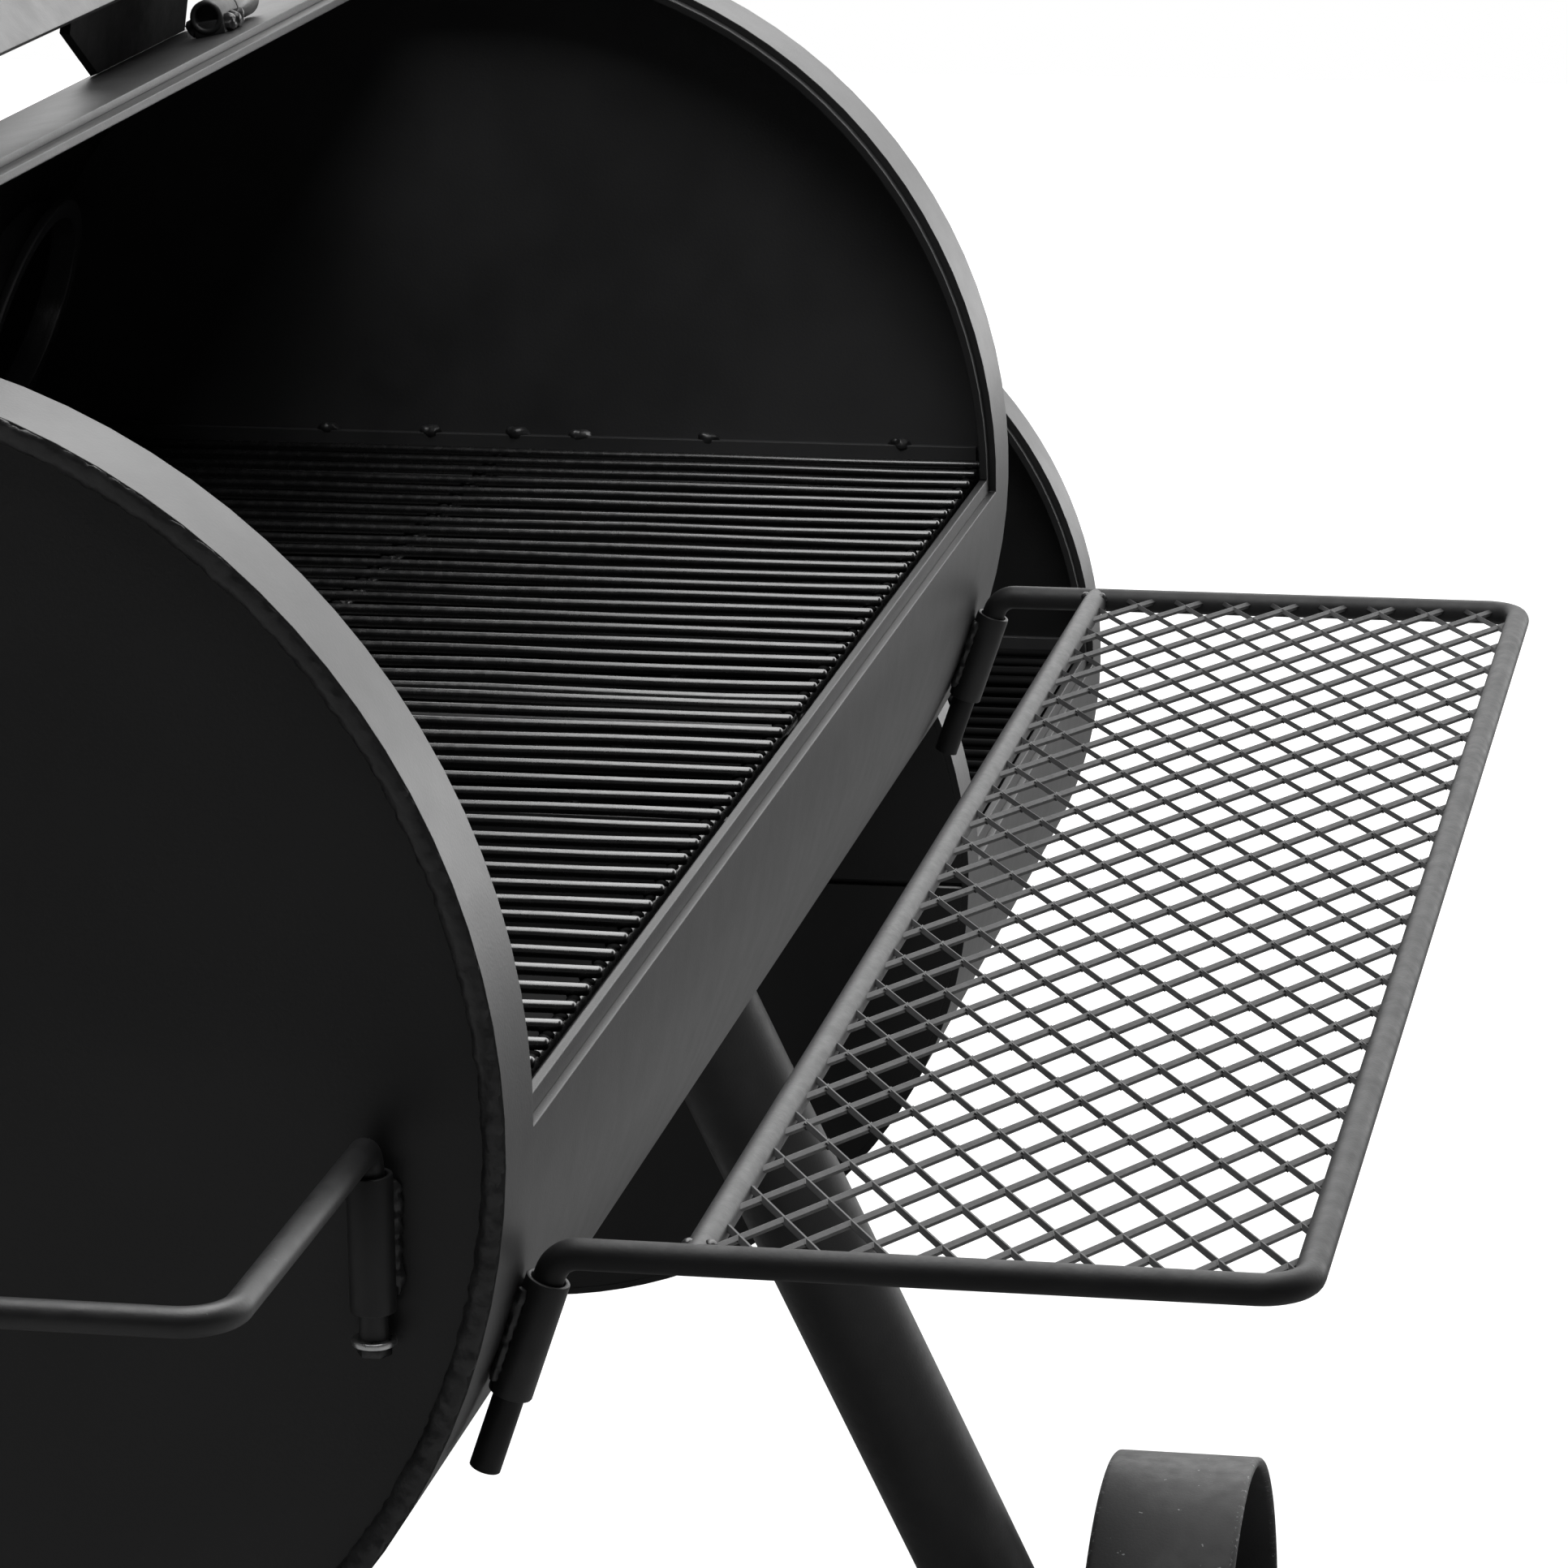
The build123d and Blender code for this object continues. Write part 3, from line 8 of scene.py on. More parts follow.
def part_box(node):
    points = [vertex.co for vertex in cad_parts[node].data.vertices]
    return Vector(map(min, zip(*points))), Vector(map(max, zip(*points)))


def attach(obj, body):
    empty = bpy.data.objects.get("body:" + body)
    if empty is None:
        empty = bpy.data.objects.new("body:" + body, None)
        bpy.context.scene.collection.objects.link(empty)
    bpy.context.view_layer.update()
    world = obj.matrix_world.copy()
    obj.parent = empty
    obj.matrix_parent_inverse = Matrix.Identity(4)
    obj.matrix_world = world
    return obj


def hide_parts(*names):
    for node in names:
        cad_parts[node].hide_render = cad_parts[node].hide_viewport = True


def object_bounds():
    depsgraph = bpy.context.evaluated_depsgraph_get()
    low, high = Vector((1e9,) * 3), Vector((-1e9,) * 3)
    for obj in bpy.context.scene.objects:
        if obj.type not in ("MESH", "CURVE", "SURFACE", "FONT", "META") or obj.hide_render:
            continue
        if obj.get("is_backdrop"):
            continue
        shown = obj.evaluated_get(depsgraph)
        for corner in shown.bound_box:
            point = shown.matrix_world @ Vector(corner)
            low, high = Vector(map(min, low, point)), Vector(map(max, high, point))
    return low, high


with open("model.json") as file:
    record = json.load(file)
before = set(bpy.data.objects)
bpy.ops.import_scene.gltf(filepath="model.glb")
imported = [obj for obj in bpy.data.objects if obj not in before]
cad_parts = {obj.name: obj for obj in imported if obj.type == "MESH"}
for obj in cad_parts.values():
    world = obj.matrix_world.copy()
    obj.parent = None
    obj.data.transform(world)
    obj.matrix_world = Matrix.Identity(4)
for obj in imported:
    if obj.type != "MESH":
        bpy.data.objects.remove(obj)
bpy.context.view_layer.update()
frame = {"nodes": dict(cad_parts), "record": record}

nodes = frame["nodes"]
scene = bpy.context.scene
mm = 0.001
upward = Vector((0, 0, 1))
sideways = Vector((1, 0, 0))
backward = Vector((0, 1, 0))

shellLow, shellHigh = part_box("chamber_shell")
barrelY = (shellLow.y + shellHigh.y) / 2
barrelZ = (shellLow.z + shellHigh.z) / 2


def spot(x, y, z):  # millimetres from the left end of the barrel's axis
    return Vector((shellLow.x + x * mm, barrelY + y * mm, barrelZ + z * mm))


def rimSpot(x, radius, angle, drop=0):  # point round a barrel, angles from the front upwards
    turn = math.radians(angle)
    return spot(x, -radius * math.cos(turn), radius * math.sin(turn) - drop)


def newFinish(name):
    material = bpy.data.materials.new(name)
    material.use_nodes = True
    tree = material.node_tree
    return material, tree, tree.nodes["Principled BSDF"]


def grey(level):
    return (level, level, level * 1.03)


def feed(tree, source, socket):  # a link, or a constant set on the socket
    if isinstance(source, bpy.types.NodeSocket):
        tree.links.new(source, socket)
    elif isinstance(source, tuple):
        socket.default_value = (*source, 1)
    else:
        socket.default_value = source


def noiseAt(tree, scale, detail=2.0, rough=0.5, stretch=(1, 1, 1)):
    coord = tree.nodes.new("ShaderNodeTexCoord")
    mapping = tree.nodes.new("ShaderNodeMapping")
    mapping.inputs["Scale"].default_value = stretch
    texture = tree.nodes.new("ShaderNodeTexNoise")
    texture.inputs["Scale"].default_value = scale
    texture.inputs["Detail"].default_value = detail
    texture.inputs["Roughness"].default_value = rough
    feed(tree, coord.outputs["Object"], mapping.inputs["Vector"])
    feed(tree, mapping.outputs["Vector"], texture.inputs["Vector"])
    return texture.outputs["Fac"]


def remap(tree, value, low, high, outLow, outHigh):
    node = tree.nodes.new("ShaderNodeMapRange")
    node.inputs["From Min"].default_value = low
    node.inputs["From Max"].default_value = high
    node.inputs["To Min"].default_value = outLow
    node.inputs["To Max"].default_value = outHigh
    feed(tree, value, node.inputs["Value"])
    return node.outputs["Result"]


def combine(tree, operation, first, second):
    node = tree.nodes.new("ShaderNodeMath")
    node.operation = operation
    feed(tree, first, node.inputs[0])
    feed(tree, second, node.inputs[1])
    return node.outputs["Value"]


def blendColour(tree, factor, first, second):
    node = tree.nodes.new("ShaderNodeMix")
    node.data_type = "RGBA"
    feed(tree, factor, node.inputs[0])
    feed(tree, first, node.inputs[6])
    feed(tree, second, node.inputs[7])
    return node.outputs[2]


def roundedNormal(tree, radius):
    node = tree.nodes.new("ShaderNodeBevel")
    node.samples = 4
    node.inputs["Radius"].default_value = radius
    return node.outputs["Normal"]


def bumped(tree, height, distance, normal):
    node = tree.nodes.new("ShaderNodeBump")
    node.inputs["Strength"].default_value = 0.6
    node.inputs["Distance"].default_value = distance
    feed(tree, height, node.inputs["Height"])
    feed(tree, normal, node.inputs["Normal"])
    return node.outputs["Normal"]


def paintFinish(name, look):  # powder coat: patchy tone and gloss, orange peel, soft edges, worn spots
    material, tree, shader = newFinish(name)
    patch = remap(tree, noiseAt(tree, look["patch"], 4, 0.6), 0.35, 0.65, 0, 1)
    colour = blendColour(tree, patch, grey(look["dark"]), grey(look["light"]))
    edge = roundedNormal(tree, look["edge"])
    if look["wear"]:
        shape = tree.nodes.new("ShaderNodeNewGeometry")
        turn = tree.nodes.new("ShaderNodeVectorMath")
        turn.operation = "DOT_PRODUCT"
        feed(tree, edge, turn.inputs[0])
        feed(tree, shape.outputs["Normal"], turn.inputs[1])
        atEdge = remap(tree, turn.outputs["Value"], 0.999, 0.96, 0, 1)
        speck = remap(tree, noiseAt(tree, 420, 4, 0.7), 0.56, 0.62, 0, 1)
        stray = remap(tree, noiseAt(tree, 260, 2), 0.74, 0.76, 0, 0.8)
        worn = combine(tree, "MAXIMUM", combine(tree, "MULTIPLY", atEdge, speck), stray)
        colour = blendColour(tree, worn, colour, grey(look["wear"]))
    feed(tree, colour, shader.inputs["Base Color"])
    shader.inputs["IOR"].default_value = look["bend"]
    gloss = remap(tree, noiseAt(tree, look["patch"] * 4, 4, 0.6), 0.3, 0.7, *look["rough"])
    feed(tree, gloss, shader.inputs["Roughness"])
    feed(tree, bumped(tree, noiseAt(tree, look["grain"], 2), look["peel"], edge), shader.inputs["Normal"])
    return material


def metalFinish(name, look):  # bare or plated metal with a drawn grain
    material, tree, shader = newFinish(name)
    grain = noiseAt(tree, look["grain"], 3, 0.6, look["stretch"])
    tone = blendColour(tree, remap(tree, grain, 0.3, 0.7, 0, 1), look["dark"], look["light"])
    feed(tree, tone, shader.inputs["Base Color"])
    feed(tree, remap(tree, grain, 0.3, 0.7, *look["rough"]), shader.inputs["Roughness"])
    shader.inputs["Metallic"].default_value = 1
    feed(tree, bumped(tree, grain, 0.00003, roundedNormal(tree, 0.0004)), shader.inputs["Normal"])
    return material


def plainFinish(name, dark, light, rough, scale):  # print, rubber and enamel: two close tones
    material, tree, shader = newFinish(name)
    spread = remap(tree, noiseAt(tree, scale, 3), 0.35, 0.65, 0, 1)
    feed(tree, blendColour(tree, spread, dark, light), shader.inputs["Base Color"])
    feed(tree, remap(tree, noiseAt(tree, scale * 3, 3), 0.3, 0.7, *rough), shader.inputs["Roughness"])
    return material


satin = {"dark": 0.006, "light": 0.010, "bend": 1.5, "patch": 16, "rough": (0.43, 0.47), "peel": 0.00009,
         "grain": 900, "edge": 0.0007, "wear": 0}
finish = {
    "barrel_paint": paintFinish("barrelPaint", satin),
    "lid_paint": paintFinish("lidPaint", {**satin, "rough": (0.34, 0.44), "bend": 1.6}),
    "frame_paint": paintFinish("framePaint", {**satin, "dark": 0.008, "light": 0.013, "patch": 40,
                                              "rough": (0.46, 0.58), "edge": 0.0005}),
    "grate_steel": paintFinish("grateEnamel", {**satin, "bend": 1.75, "dark": 0.005, "light": 0.009,
                                               "patch": 60, "rough": (0.20, 0.32), "edge": 0.0003,
                                               "peel": 0.000002}),
    "wheel_paint": paintFinish("wheelPaint", {**satin, "bend": 1.38, "dark": 0.009, "light": 0.015,
                                              "patch": 30, "rough": (0.46, 0.58), "edge": 0.0035,
                                              "wear": 0.22}),
    "grip": paintFinish("gripPaint", {**satin, "rough": (0.50, 0.60), "patch": 50}),
    "zinc": metalFinish("zincPlate", {"dark": (0.50, 0.51, 0.52), "light": (0.68, 0.68, 0.67),
                                      "rough": (0.24, 0.36), "grain": 300, "stretch": (1, 1, 1)}),
    "gauge_steel": metalFinish("brushedSteel", {"dark": (0.52, 0.52, 0.53), "light": (0.66, 0.66, 0.66),
                                                "rough": (0.22, 0.34), "grain": 500, "stretch": (8, 1, 1)}),
    "cup": metalFinish("galvanised", {"dark": (0.45, 0.46, 0.47), "light": (0.64, 0.65, 0.65),
                                      "rough": (0.34, 0.50), "grain": 120, "stretch": (1, 1, 1)}),
    "dial": plainFinish("dialEnamel", (0.80, 0.80, 0.78), (0.86, 0.86, 0.84), (0.35, 0.45), 40),
    "needle": plainFinish("needleRed", (0.50, 0.03, 0.02), (0.60, 0.05, 0.03), (0.35, 0.45), 60),
    "foot": plainFinish("rubberPad", (0.018, 0.018, 0.018), (0.032, 0.032, 0.032), (0.70, 0.85), 70),
    "lens": plainFinish("clearLens", (0.96, 0.97, 0.97), (0.98, 0.98, 0.98), (0.02, 0.05), 20),
}
lensShader = finish["lens"].node_tree.nodes["Principled BSDF"]
lensShader.inputs["Transmission Weight"].default_value = 1
lensShader.inputs["IOR"].default_value = 1.45
weldPaint = paintFinish("weldPaint", {**satin, "dark": 0.010, "light": 0.024, "patch": 120,
                                      "rough": (0.28, 0.42), "peel": 0.0004, "grain": 450})
# lighter than the barrel paint: a flatter seasoned inside finish, plus painted sheen for the light falling in
# through the opening
innerPaintAndSheen = paintFinish("innerPaintAndSheen", {**satin, "dark": 0.022, "light": 0.040, "patch": 6,
                                        "rough": (0.42, 0.60)})
# near-black matt paint: real soot on the firebox grate, but painted shade on the lid stop plates
sootAndShadeBlack = paintFinish("sootAndShadeBlack", {**satin, "dark": 0.003, "light": 0.006, "patch": 30,
                                      "rough": (0.75, 0.90), "bend": 1.2})
darkSteel = metalFinish("darkSteel", {"dark": (0.04, 0.04, 0.042), "light": (0.09, 0.09, 0.09),
                                      "rough": (0.28, 0.40), "grain": 300, "stretch": (1, 1, 1)})
# far lighter and glossier than the barrel paint: painted sheen so the collar ring shows in the barrel's deep
# shade
collarPaintedSheen = paintFinish("collarPaintedSheen", {**satin, "dark": 0.050, "light": 0.080, "rough": (0.16, 0.26),
                                          "bend": 2.0})
shelfPaint = paintFinish("shelfPaint", {**satin, "dark": 0.010, "light": 0.016, "patch": 40,
                                        "rough": (0.50, 0.62), "bend": 1.35})
towPaint = paintFinish("towPaint", {**satin, "wear": 0.08, "dark": 0.012, "light": 0.018, "patch": 40,
                                    "rough": (0.44, 0.54), "bend": 1.55})
wirePaint = paintFinish("wirePaint", {**satin, "dark": 0.015, "light": 0.026, "patch": 80,
                                      "rough": (0.46, 0.58), "edge": 0.0003})

for part in frame["record"]["subparts"]:
    mesh = nodes[part["node"]].data
    mesh.materials.clear()
    mesh.materials.append(finish[part["material_slot"]])
# the far end plate and ledges inside the barrel take the lighter paint, which is partly painted sheen
for node in ("chamber_right_plate", "grate_ledges"):
    nodes[node].data.materials[0] = innerPaintAndSheen
# the stop plates lie in the lid's shadow: their near-black paint is painted shade
for node in ("lid_stop_plates", "firebox_lid_stops"):
    nodes[node].data.materials[0] = sootAndShadeBlack
print("finishes done")


def turnTo(axis):
    return Vector(axis).to_track_quat("Z", "Y").to_matrix().to_4x4()


def place(centre, axis=upward):
    return Matrix.Translation(centre) @ turnTo(axis)


def edgesOf(verts):
    return list(dict.fromkeys(edge for vert in verts for edge in vert.link_edges))


def facesOf(verts):
    return list(dict.fromkeys(face for vert in verts for face in vert.link_faces))


def vertsOf(edges):
    return list(dict.fromkeys(vert for edge in edges for vert in edge.verts))


def soften(bm, verts, size, segments=2):  # bevels the sharp edges of some vertices
    bm.normal_update()
    sharp = [edge for edge in edgesOf(verts) if len(edge.link_faces) == 2 and edge.calc_face_angle(0) > 0.7]
    bmesh.ops.bevel(bm, geom=sharp, offset=size, offset_type="OFFSET", segments=segments, profile=0.5,
                    affect="EDGES", clamp_overlap=True, material=-1)


def block(bm, centre, size, turn=Matrix(), soft=0.0):
    scale = Matrix.Diagonal((*[length * mm for length in size], 1))
    verts = bmesh.ops.create_cube(bm, size=1, matrix=Matrix.Translation(centre) @ turn @ scale)["verts"]
    if soft:
        soften(bm, verts, soft * mm)


def plug(bm, centre, axis, radius, length, sides=32, soft=0.0, segments=2):
    verts = bmesh.ops.create_cone(bm, cap_ends=True, segments=sides, radius1=radius * mm, radius2=radius * mm,
                                  depth=length * mm, matrix=place(centre, axis))["verts"]
    if soft:
        soften(bm, verts, soft * mm, segments)


def tube(bm, centre, axis, outer, inner, length, sides=32, soft=0.0, segments=2):  # a spun rectangle
    before = set(bm.verts)
    shift = Matrix.Translation(((outer + inner) / 2 * mm, 0, 0))
    upright = Matrix.Rotation(math.pi / 2, 4, "X")
    scale = Matrix.Diagonal(((outer - inner) * mm, length * mm, 1, 1))
    section = place(centre, axis) @ shift @ upright @ scale
    verts = bmesh.ops.create_grid(bm, x_segments=1, y_segments=1, size=0.5, matrix=section)["verts"]
    edges = edgesOf(verts)
    bmesh.ops.delete(bm, geom=facesOf(verts), context="FACES_ONLY")
    bmesh.ops.spin(bm, geom=verts + edges, cent=centre, axis=axis, angle=2 * math.pi, steps=sides,
                   use_merge=True)
    made = [vert for vert in bm.verts if vert not in before]
    bmesh.ops.recalc_face_normals(bm, faces=facesOf(made))
    if soft:
        soften(bm, made, soft * mm, segments)


def ringAt(bm, centre, heading, radius, sides, closed=True):
    verts = bmesh.ops.create_circle(bm, cap_ends=closed, radius=radius, segments=sides,
                                    matrix=place(centre, heading))["verts"]
    return edgesOf(verts)


def pushRing(bm, ring, move):
    made = bmesh.ops.extrude_edge_only(bm, edges=ring)["geom"]
    verts = [item for item in made if isinstance(item, bmesh.types.BMVert)]
    bmesh.ops.translate(bm, verts=verts, vec=move)
    fresh = set(verts)
    return [edge for edge in edgesOf(verts) if all(vert in fresh for vert in edge.verts)]


def bendRing(bm, ring, centre, axis, angle, steps):
    verts = vertsOf(ring)
    last = bmesh.ops.spin(bm, geom=verts + ring, cent=centre, axis=axis, angle=angle, steps=steps,
                          use_merge=False, use_duplicate=False)["geom_last"]
    return [item for item in last if isinstance(item, bmesh.types.BMEdge)]


def rod(bm, points, radius, bends=(), sides=20):  # straight runs joined by tangent bends
    radius *= mm
    heading = (points[1] - points[0]).normalized()
    ring = ringAt(bm, points[0], heading, radius, sides)
    here = points[0]
    for number, bend in enumerate(bends, 1):
        corner = points[number]
        onward = (points[number + 1] - corner).normalized()
        angle = heading.angle(onward)
        setback = bend * mm * math.tan(angle / 2)
        start = corner - heading * setback
        ring = pushRing(bm, ring, start - here)
        axis = heading.cross(onward).normalized()
        centre = start + axis.cross(heading) * bend * mm
        ring = bendRing(bm, ring, centre, axis, angle, max(4, round(math.degrees(angle) / 8)))
        here = corner + onward * setback
        heading = onward
    ring = pushRing(bm, ring, points[-1] - here)
    bmesh.ops.contextual_create(bm, geom=ring)


def bead(bm, start, end, radius, seed):  # lumpy line of weld
    before = set(bm.verts)
    run = end - start
    heading = run.normalized()
    steps = max(5, round(run.length / (radius * mm * 0.55)))
    ring = ringAt(bm, start, heading, radius * mm, 8)
    for step in range(steps):
        ring = pushRing(bm, ring, run / steps)
    bmesh.ops.contextual_create(bm, geom=ring)
    for vert in [vert for vert in bm.verts if vert not in before]:
        reach = (vert.co - start).dot(heading)
        middle = start + heading * reach
        nearEnd = min(reach, run.length - reach) / (radius * mm)
        swell = min(1, 0.55 + 0.5 * nearEnd) + 0.12 * math.sin(reach / (radius * mm) * 3.4 + seed)
        swell += 0.35 * noise.noise(vert.co * 420 + Vector((seed, 0, 0)))
        vert.co = middle + (vert.co - middle) * swell


def blob(bm, centre, size, seed, turn=Matrix()):  # single tack of weld
    scale = Matrix.Diagonal((*[length * mm for length in size], 1))
    spread = Matrix.Translation(centre) @ turn @ scale
    for vert in bmesh.ops.create_icosphere(bm, subdivisions=2, radius=1, matrix=spread)["verts"]:
        out = vert.co - centre
        vert.co = centre + out * (1 + 0.45 * noise.noise(out * 330 + Vector((seed, seed * 0.7, 0))))


def keep(name, bm, material, body, stands=(), sharp=38):
    bmesh.ops.remove_doubles(bm, verts=bm.verts, dist=0.000002)
    bmesh.ops.recalc_face_normals(bm, faces=bm.faces)
    mesh = bpy.data.meshes.new(name)
    bm.to_mesh(mesh)
    bm.free()
    mesh.shade_smooth()
    mesh.set_sharp_from_angle(angle=math.radians(sharp))
    mesh.materials.append(material)
    piece = bpy.data.objects.new(name, mesh)
    scene.collection.objects.link(piece)
    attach(piece, body)
    if stands:
        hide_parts(*stands)
    return piece


shelf = {"rod": 4.75, "ends": (46, 878), "level": -48, "front": -440, "inner": -264, "corner": 14, "elbow": 9,
         "lean": -19, "seat": 226.7, "pin": 44, "socket": (6.7, 5.2, 38), "lump": (2.2, 2.0, 1.8),
         "lumpIn": 5.6, "lumpOut": 4.0, "lumpAngles": (40, 140, 220, 320),
         "weldSeat": 221.2, "weldSide": 4.6, "weldHalf": 15, "weld": 2.0}
lean = math.radians(shelf["lean"])
socketUp = Vector((0, math.sin(lean), math.cos(lean)))
pinRuns = []
for endX in shelf["ends"]:
    seat = rimSpot(endX, shelf["seat"], shelf["lean"])
    tip = seat - socketUp * shelf["pin"] * mm
    elbow = seat + socketUp * ((spot(0, 0, shelf["level"]).z - seat.z) / socketUp.z)
    pinRuns.append([tip, elbow, spot(endX, shelf["front"], shelf["level"])])
bm = bmesh.new()
rod(bm, [*pinRuns[0], *reversed(pinRuns[1])], shelf["rod"],
    (shelf["elbow"], shelf["corner"], shelf["corner"], shelf["elbow"]), 24)
keep("shelfFrame", bm, shelfPaint, "front_shelf", ("shelf_frame",))

bm = bmesh.new()
innerEnds = [spot(endX, shelf["inner"], shelf["level"]) for endX in shelf["ends"]]
rod(bm, innerEnds, shelf["rod"], (), 24)
keep("shelfInnerBar", bm, wirePaint, "front_shelf", ("shelf_inner_bar",))

bm = bmesh.new()
for number, end in enumerate(innerEnds):
    inward = sideways * (1 - 2 * number)
    for angle in shelf["lumpAngles"]:
        turn = math.radians(angle)
        out = backward * math.cos(turn) + upward * math.sin(turn)
        lumpSpot = end + inward * shelf["lumpIn"] * mm + out * shelf["lumpOut"] * mm
        blob(bm, lumpSpot, shelf["lump"], angle + number)
keep("shelfWelds", bm, weldPaint, "front_shelf")

bm = bmesh.new()
outer, inner, length = shelf["socket"]
for endX in shelf["ends"]:
    tube(bm, rimSpot(endX, shelf["seat"], shelf["lean"]), socketUp, outer, inner, length, 32, 0.5)
keep("shelfSockets", bm, finish["frame_paint"], "frame", ("shelf_sockets",))
bm = bmesh.new()
for endX in shelf["ends"]:
    seat = rimSpot(endX, shelf["weldSeat"], shelf["lean"])
    half = socketUp * shelf["weldHalf"] * mm
    for side in (-1, 1):
        middle = seat + sideways * side * shelf["weldSide"] * mm
        bead(bm, middle - half, middle + half, shelf["weld"], endX + side)
keep("socketWelds", bm, weldPaint, "frame")
print("shelf done")

strand = {"bond": (437.9, -303.3), "pitch": (35.6, 20.0), "width": 1.9, "wall": 1.8, "lean": 38,
          "level": -47.2, "each": 20, "reach": 16, "knot": (4.2, 2.0, 1.7), "trim": 1.5, "corner": 5}
bm = bmesh.new()
bondX, bondY = strand["bond"]
leftEnd, rightEnd = shelf["ends"]
longStep, shortStep = strand["pitch"]
reach = math.hypot(longStep, shortStep)
tilt = math.radians(strand["lean"])
for side in (-1, 1):
    direction = Vector((longStep, side * shortStep, 0)).normalized()
    facing = Vector((0, -math.sin(tilt), math.cos(tilt)))
    facing = (facing - direction * facing.dot(direction)).normalized()
    across = facing.cross(direction)
    turn = Matrix((direction, across, facing)).transposed().to_4x4()
    size = (reach * strand["reach"], strand["width"], strand["wall"])
    for number in range(-strand["each"], strand["each"] + 1):
        block(bm, spot(bondX + number * longStep, bondY, strand["level"]), size, turn)
leanTurn = Matrix.Rotation(tilt, 4, "X")
for row in range(-strand["reach"], strand["reach"] + 1):
    for column in range(-strand["reach"], strand["reach"] + 1):
        if (row + column) % 2:
            continue
        x = bondX + column * longStep / 2
        y = bondY + row * shortStep / 2
        if leftEnd < x < rightEnd and shelf["front"] < y < shelf["inner"]:
            block(bm, spot(x, y, strand["level"]), strand["knot"], leanTurn)
trim = strand["trim"]
cuts = [(spot(leftEnd + trim, 0, 0), -sideways), (spot(rightEnd - trim, 0, 0), sideways),
        (spot(0, shelf["front"] + trim, 0), -backward), (spot(0, shelf["inner"] - trim, 0), backward)]
for endX, side in ((leftEnd, -1), (rightEnd, 1)):
    cornerSpot = spot(endX - side * strand["corner"], shelf["front"] + strand["corner"], 0)
    cuts.append((cornerSpot, Vector((side, -1, 0))))
for middle, outward in cuts:
    cutEdges = bmesh.ops.bisect_plane(bm, geom=bm.verts[:] + bm.edges[:] + bm.faces[:], plane_co=middle,
                                      plane_no=outward, clear_outer=True)["geom_cut"]
    bmesh.ops.holes_fill(bm, edges=[item for item in cutEdges if isinstance(item, bmesh.types.BMEdge)])
keep("shelfMesh", bm, wirePaint, "front_shelf", ("shelf_mesh",), 25)
print("expanded metal done")

tow = {"rod": 4.25, "x": -2.7, "half": 181, "bottom": -58.5, "level": -1.5, "reach": -150, "elbow": 7,
       "corner": 14, "socket": (6.7, 5.2, 41), "middle": -30, "weld": 2.4, "weldX": 2.6, "weldSide": 5.4,
       "weldHalf": 17, "washer": (6.5, 3.0, 2), "boltHead": (5.196, 3)}
bm = bmesh.new()
near, far = -tow["half"], tow["half"]
towPoints = [(tow["x"], near, tow["bottom"]), (tow["x"], near, tow["level"]),
             (tow["reach"], near, tow["level"]), (tow["reach"], far, tow["level"]),
             (tow["x"], far, tow["level"]), (tow["x"], far, tow["bottom"])]
rod(bm, [spot(*point) for point in towPoints], tow["rod"],
    (tow["elbow"], tow["corner"], tow["corner"], tow["elbow"]), 24)
keep("towHandle", bm, towPaint, "frame", ("tow_handle",))
bm = bmesh.new()
outer, inner, length = tow["socket"]
for y in (near, far):
    tube(bm, spot(tow["x"], y, tow["middle"]), upward, outer, inner, length, 32, 0.5)
keep("towSockets", bm, finish["frame_paint"], "frame", ("tow_sockets",))
bm = bmesh.new()
for y in (near, far):
    for side in (-1, 1):
        middle = spot(tow["weldX"], y + side * tow["weldSide"], tow["middle"])
        half = upward * tow["weldHalf"] * mm
        bead(bm, middle - half, middle + half, tow["weld"], y + side)
keep("towWelds", bm, weldPaint, "frame")
bm = bmesh.new()
for y in (near, far):
    outer, inner, length = tow["washer"]
    tube(bm, spot(tow["x"], y, tow["bottom"] - length / 2), upward, outer, inner, length, 32, 0.4)
keep("towWashers", bm, finish["zinc"], "frame", ("tow_bolts",))
bm = bmesh.new()
for y in (near, far):
    radius, length = tow["boltHead"]
    headZ = tow["bottom"] - tow["washer"][2] - length / 2
    plug(bm, spot(tow["x"], y, headZ), upward, radius, length, 6, 0.35)
keep("towBoltHeads", bm, darkSteel, "frame")
print("tow handle done")


grateRods = {"rod": 2.0, "cross": 3.0, "crossDrop": 5, "crossIn": 5, "past": 2, "steps": 14, "tip": 1.3,
             "sway": (0.9, 0.4), "swayAlong": 0.37, "swayNext": 0.031,
             "tack": (1.7, 2.2, 1.3), "tackOut": (1.6, 0.6), "tackDrop": 2.6}


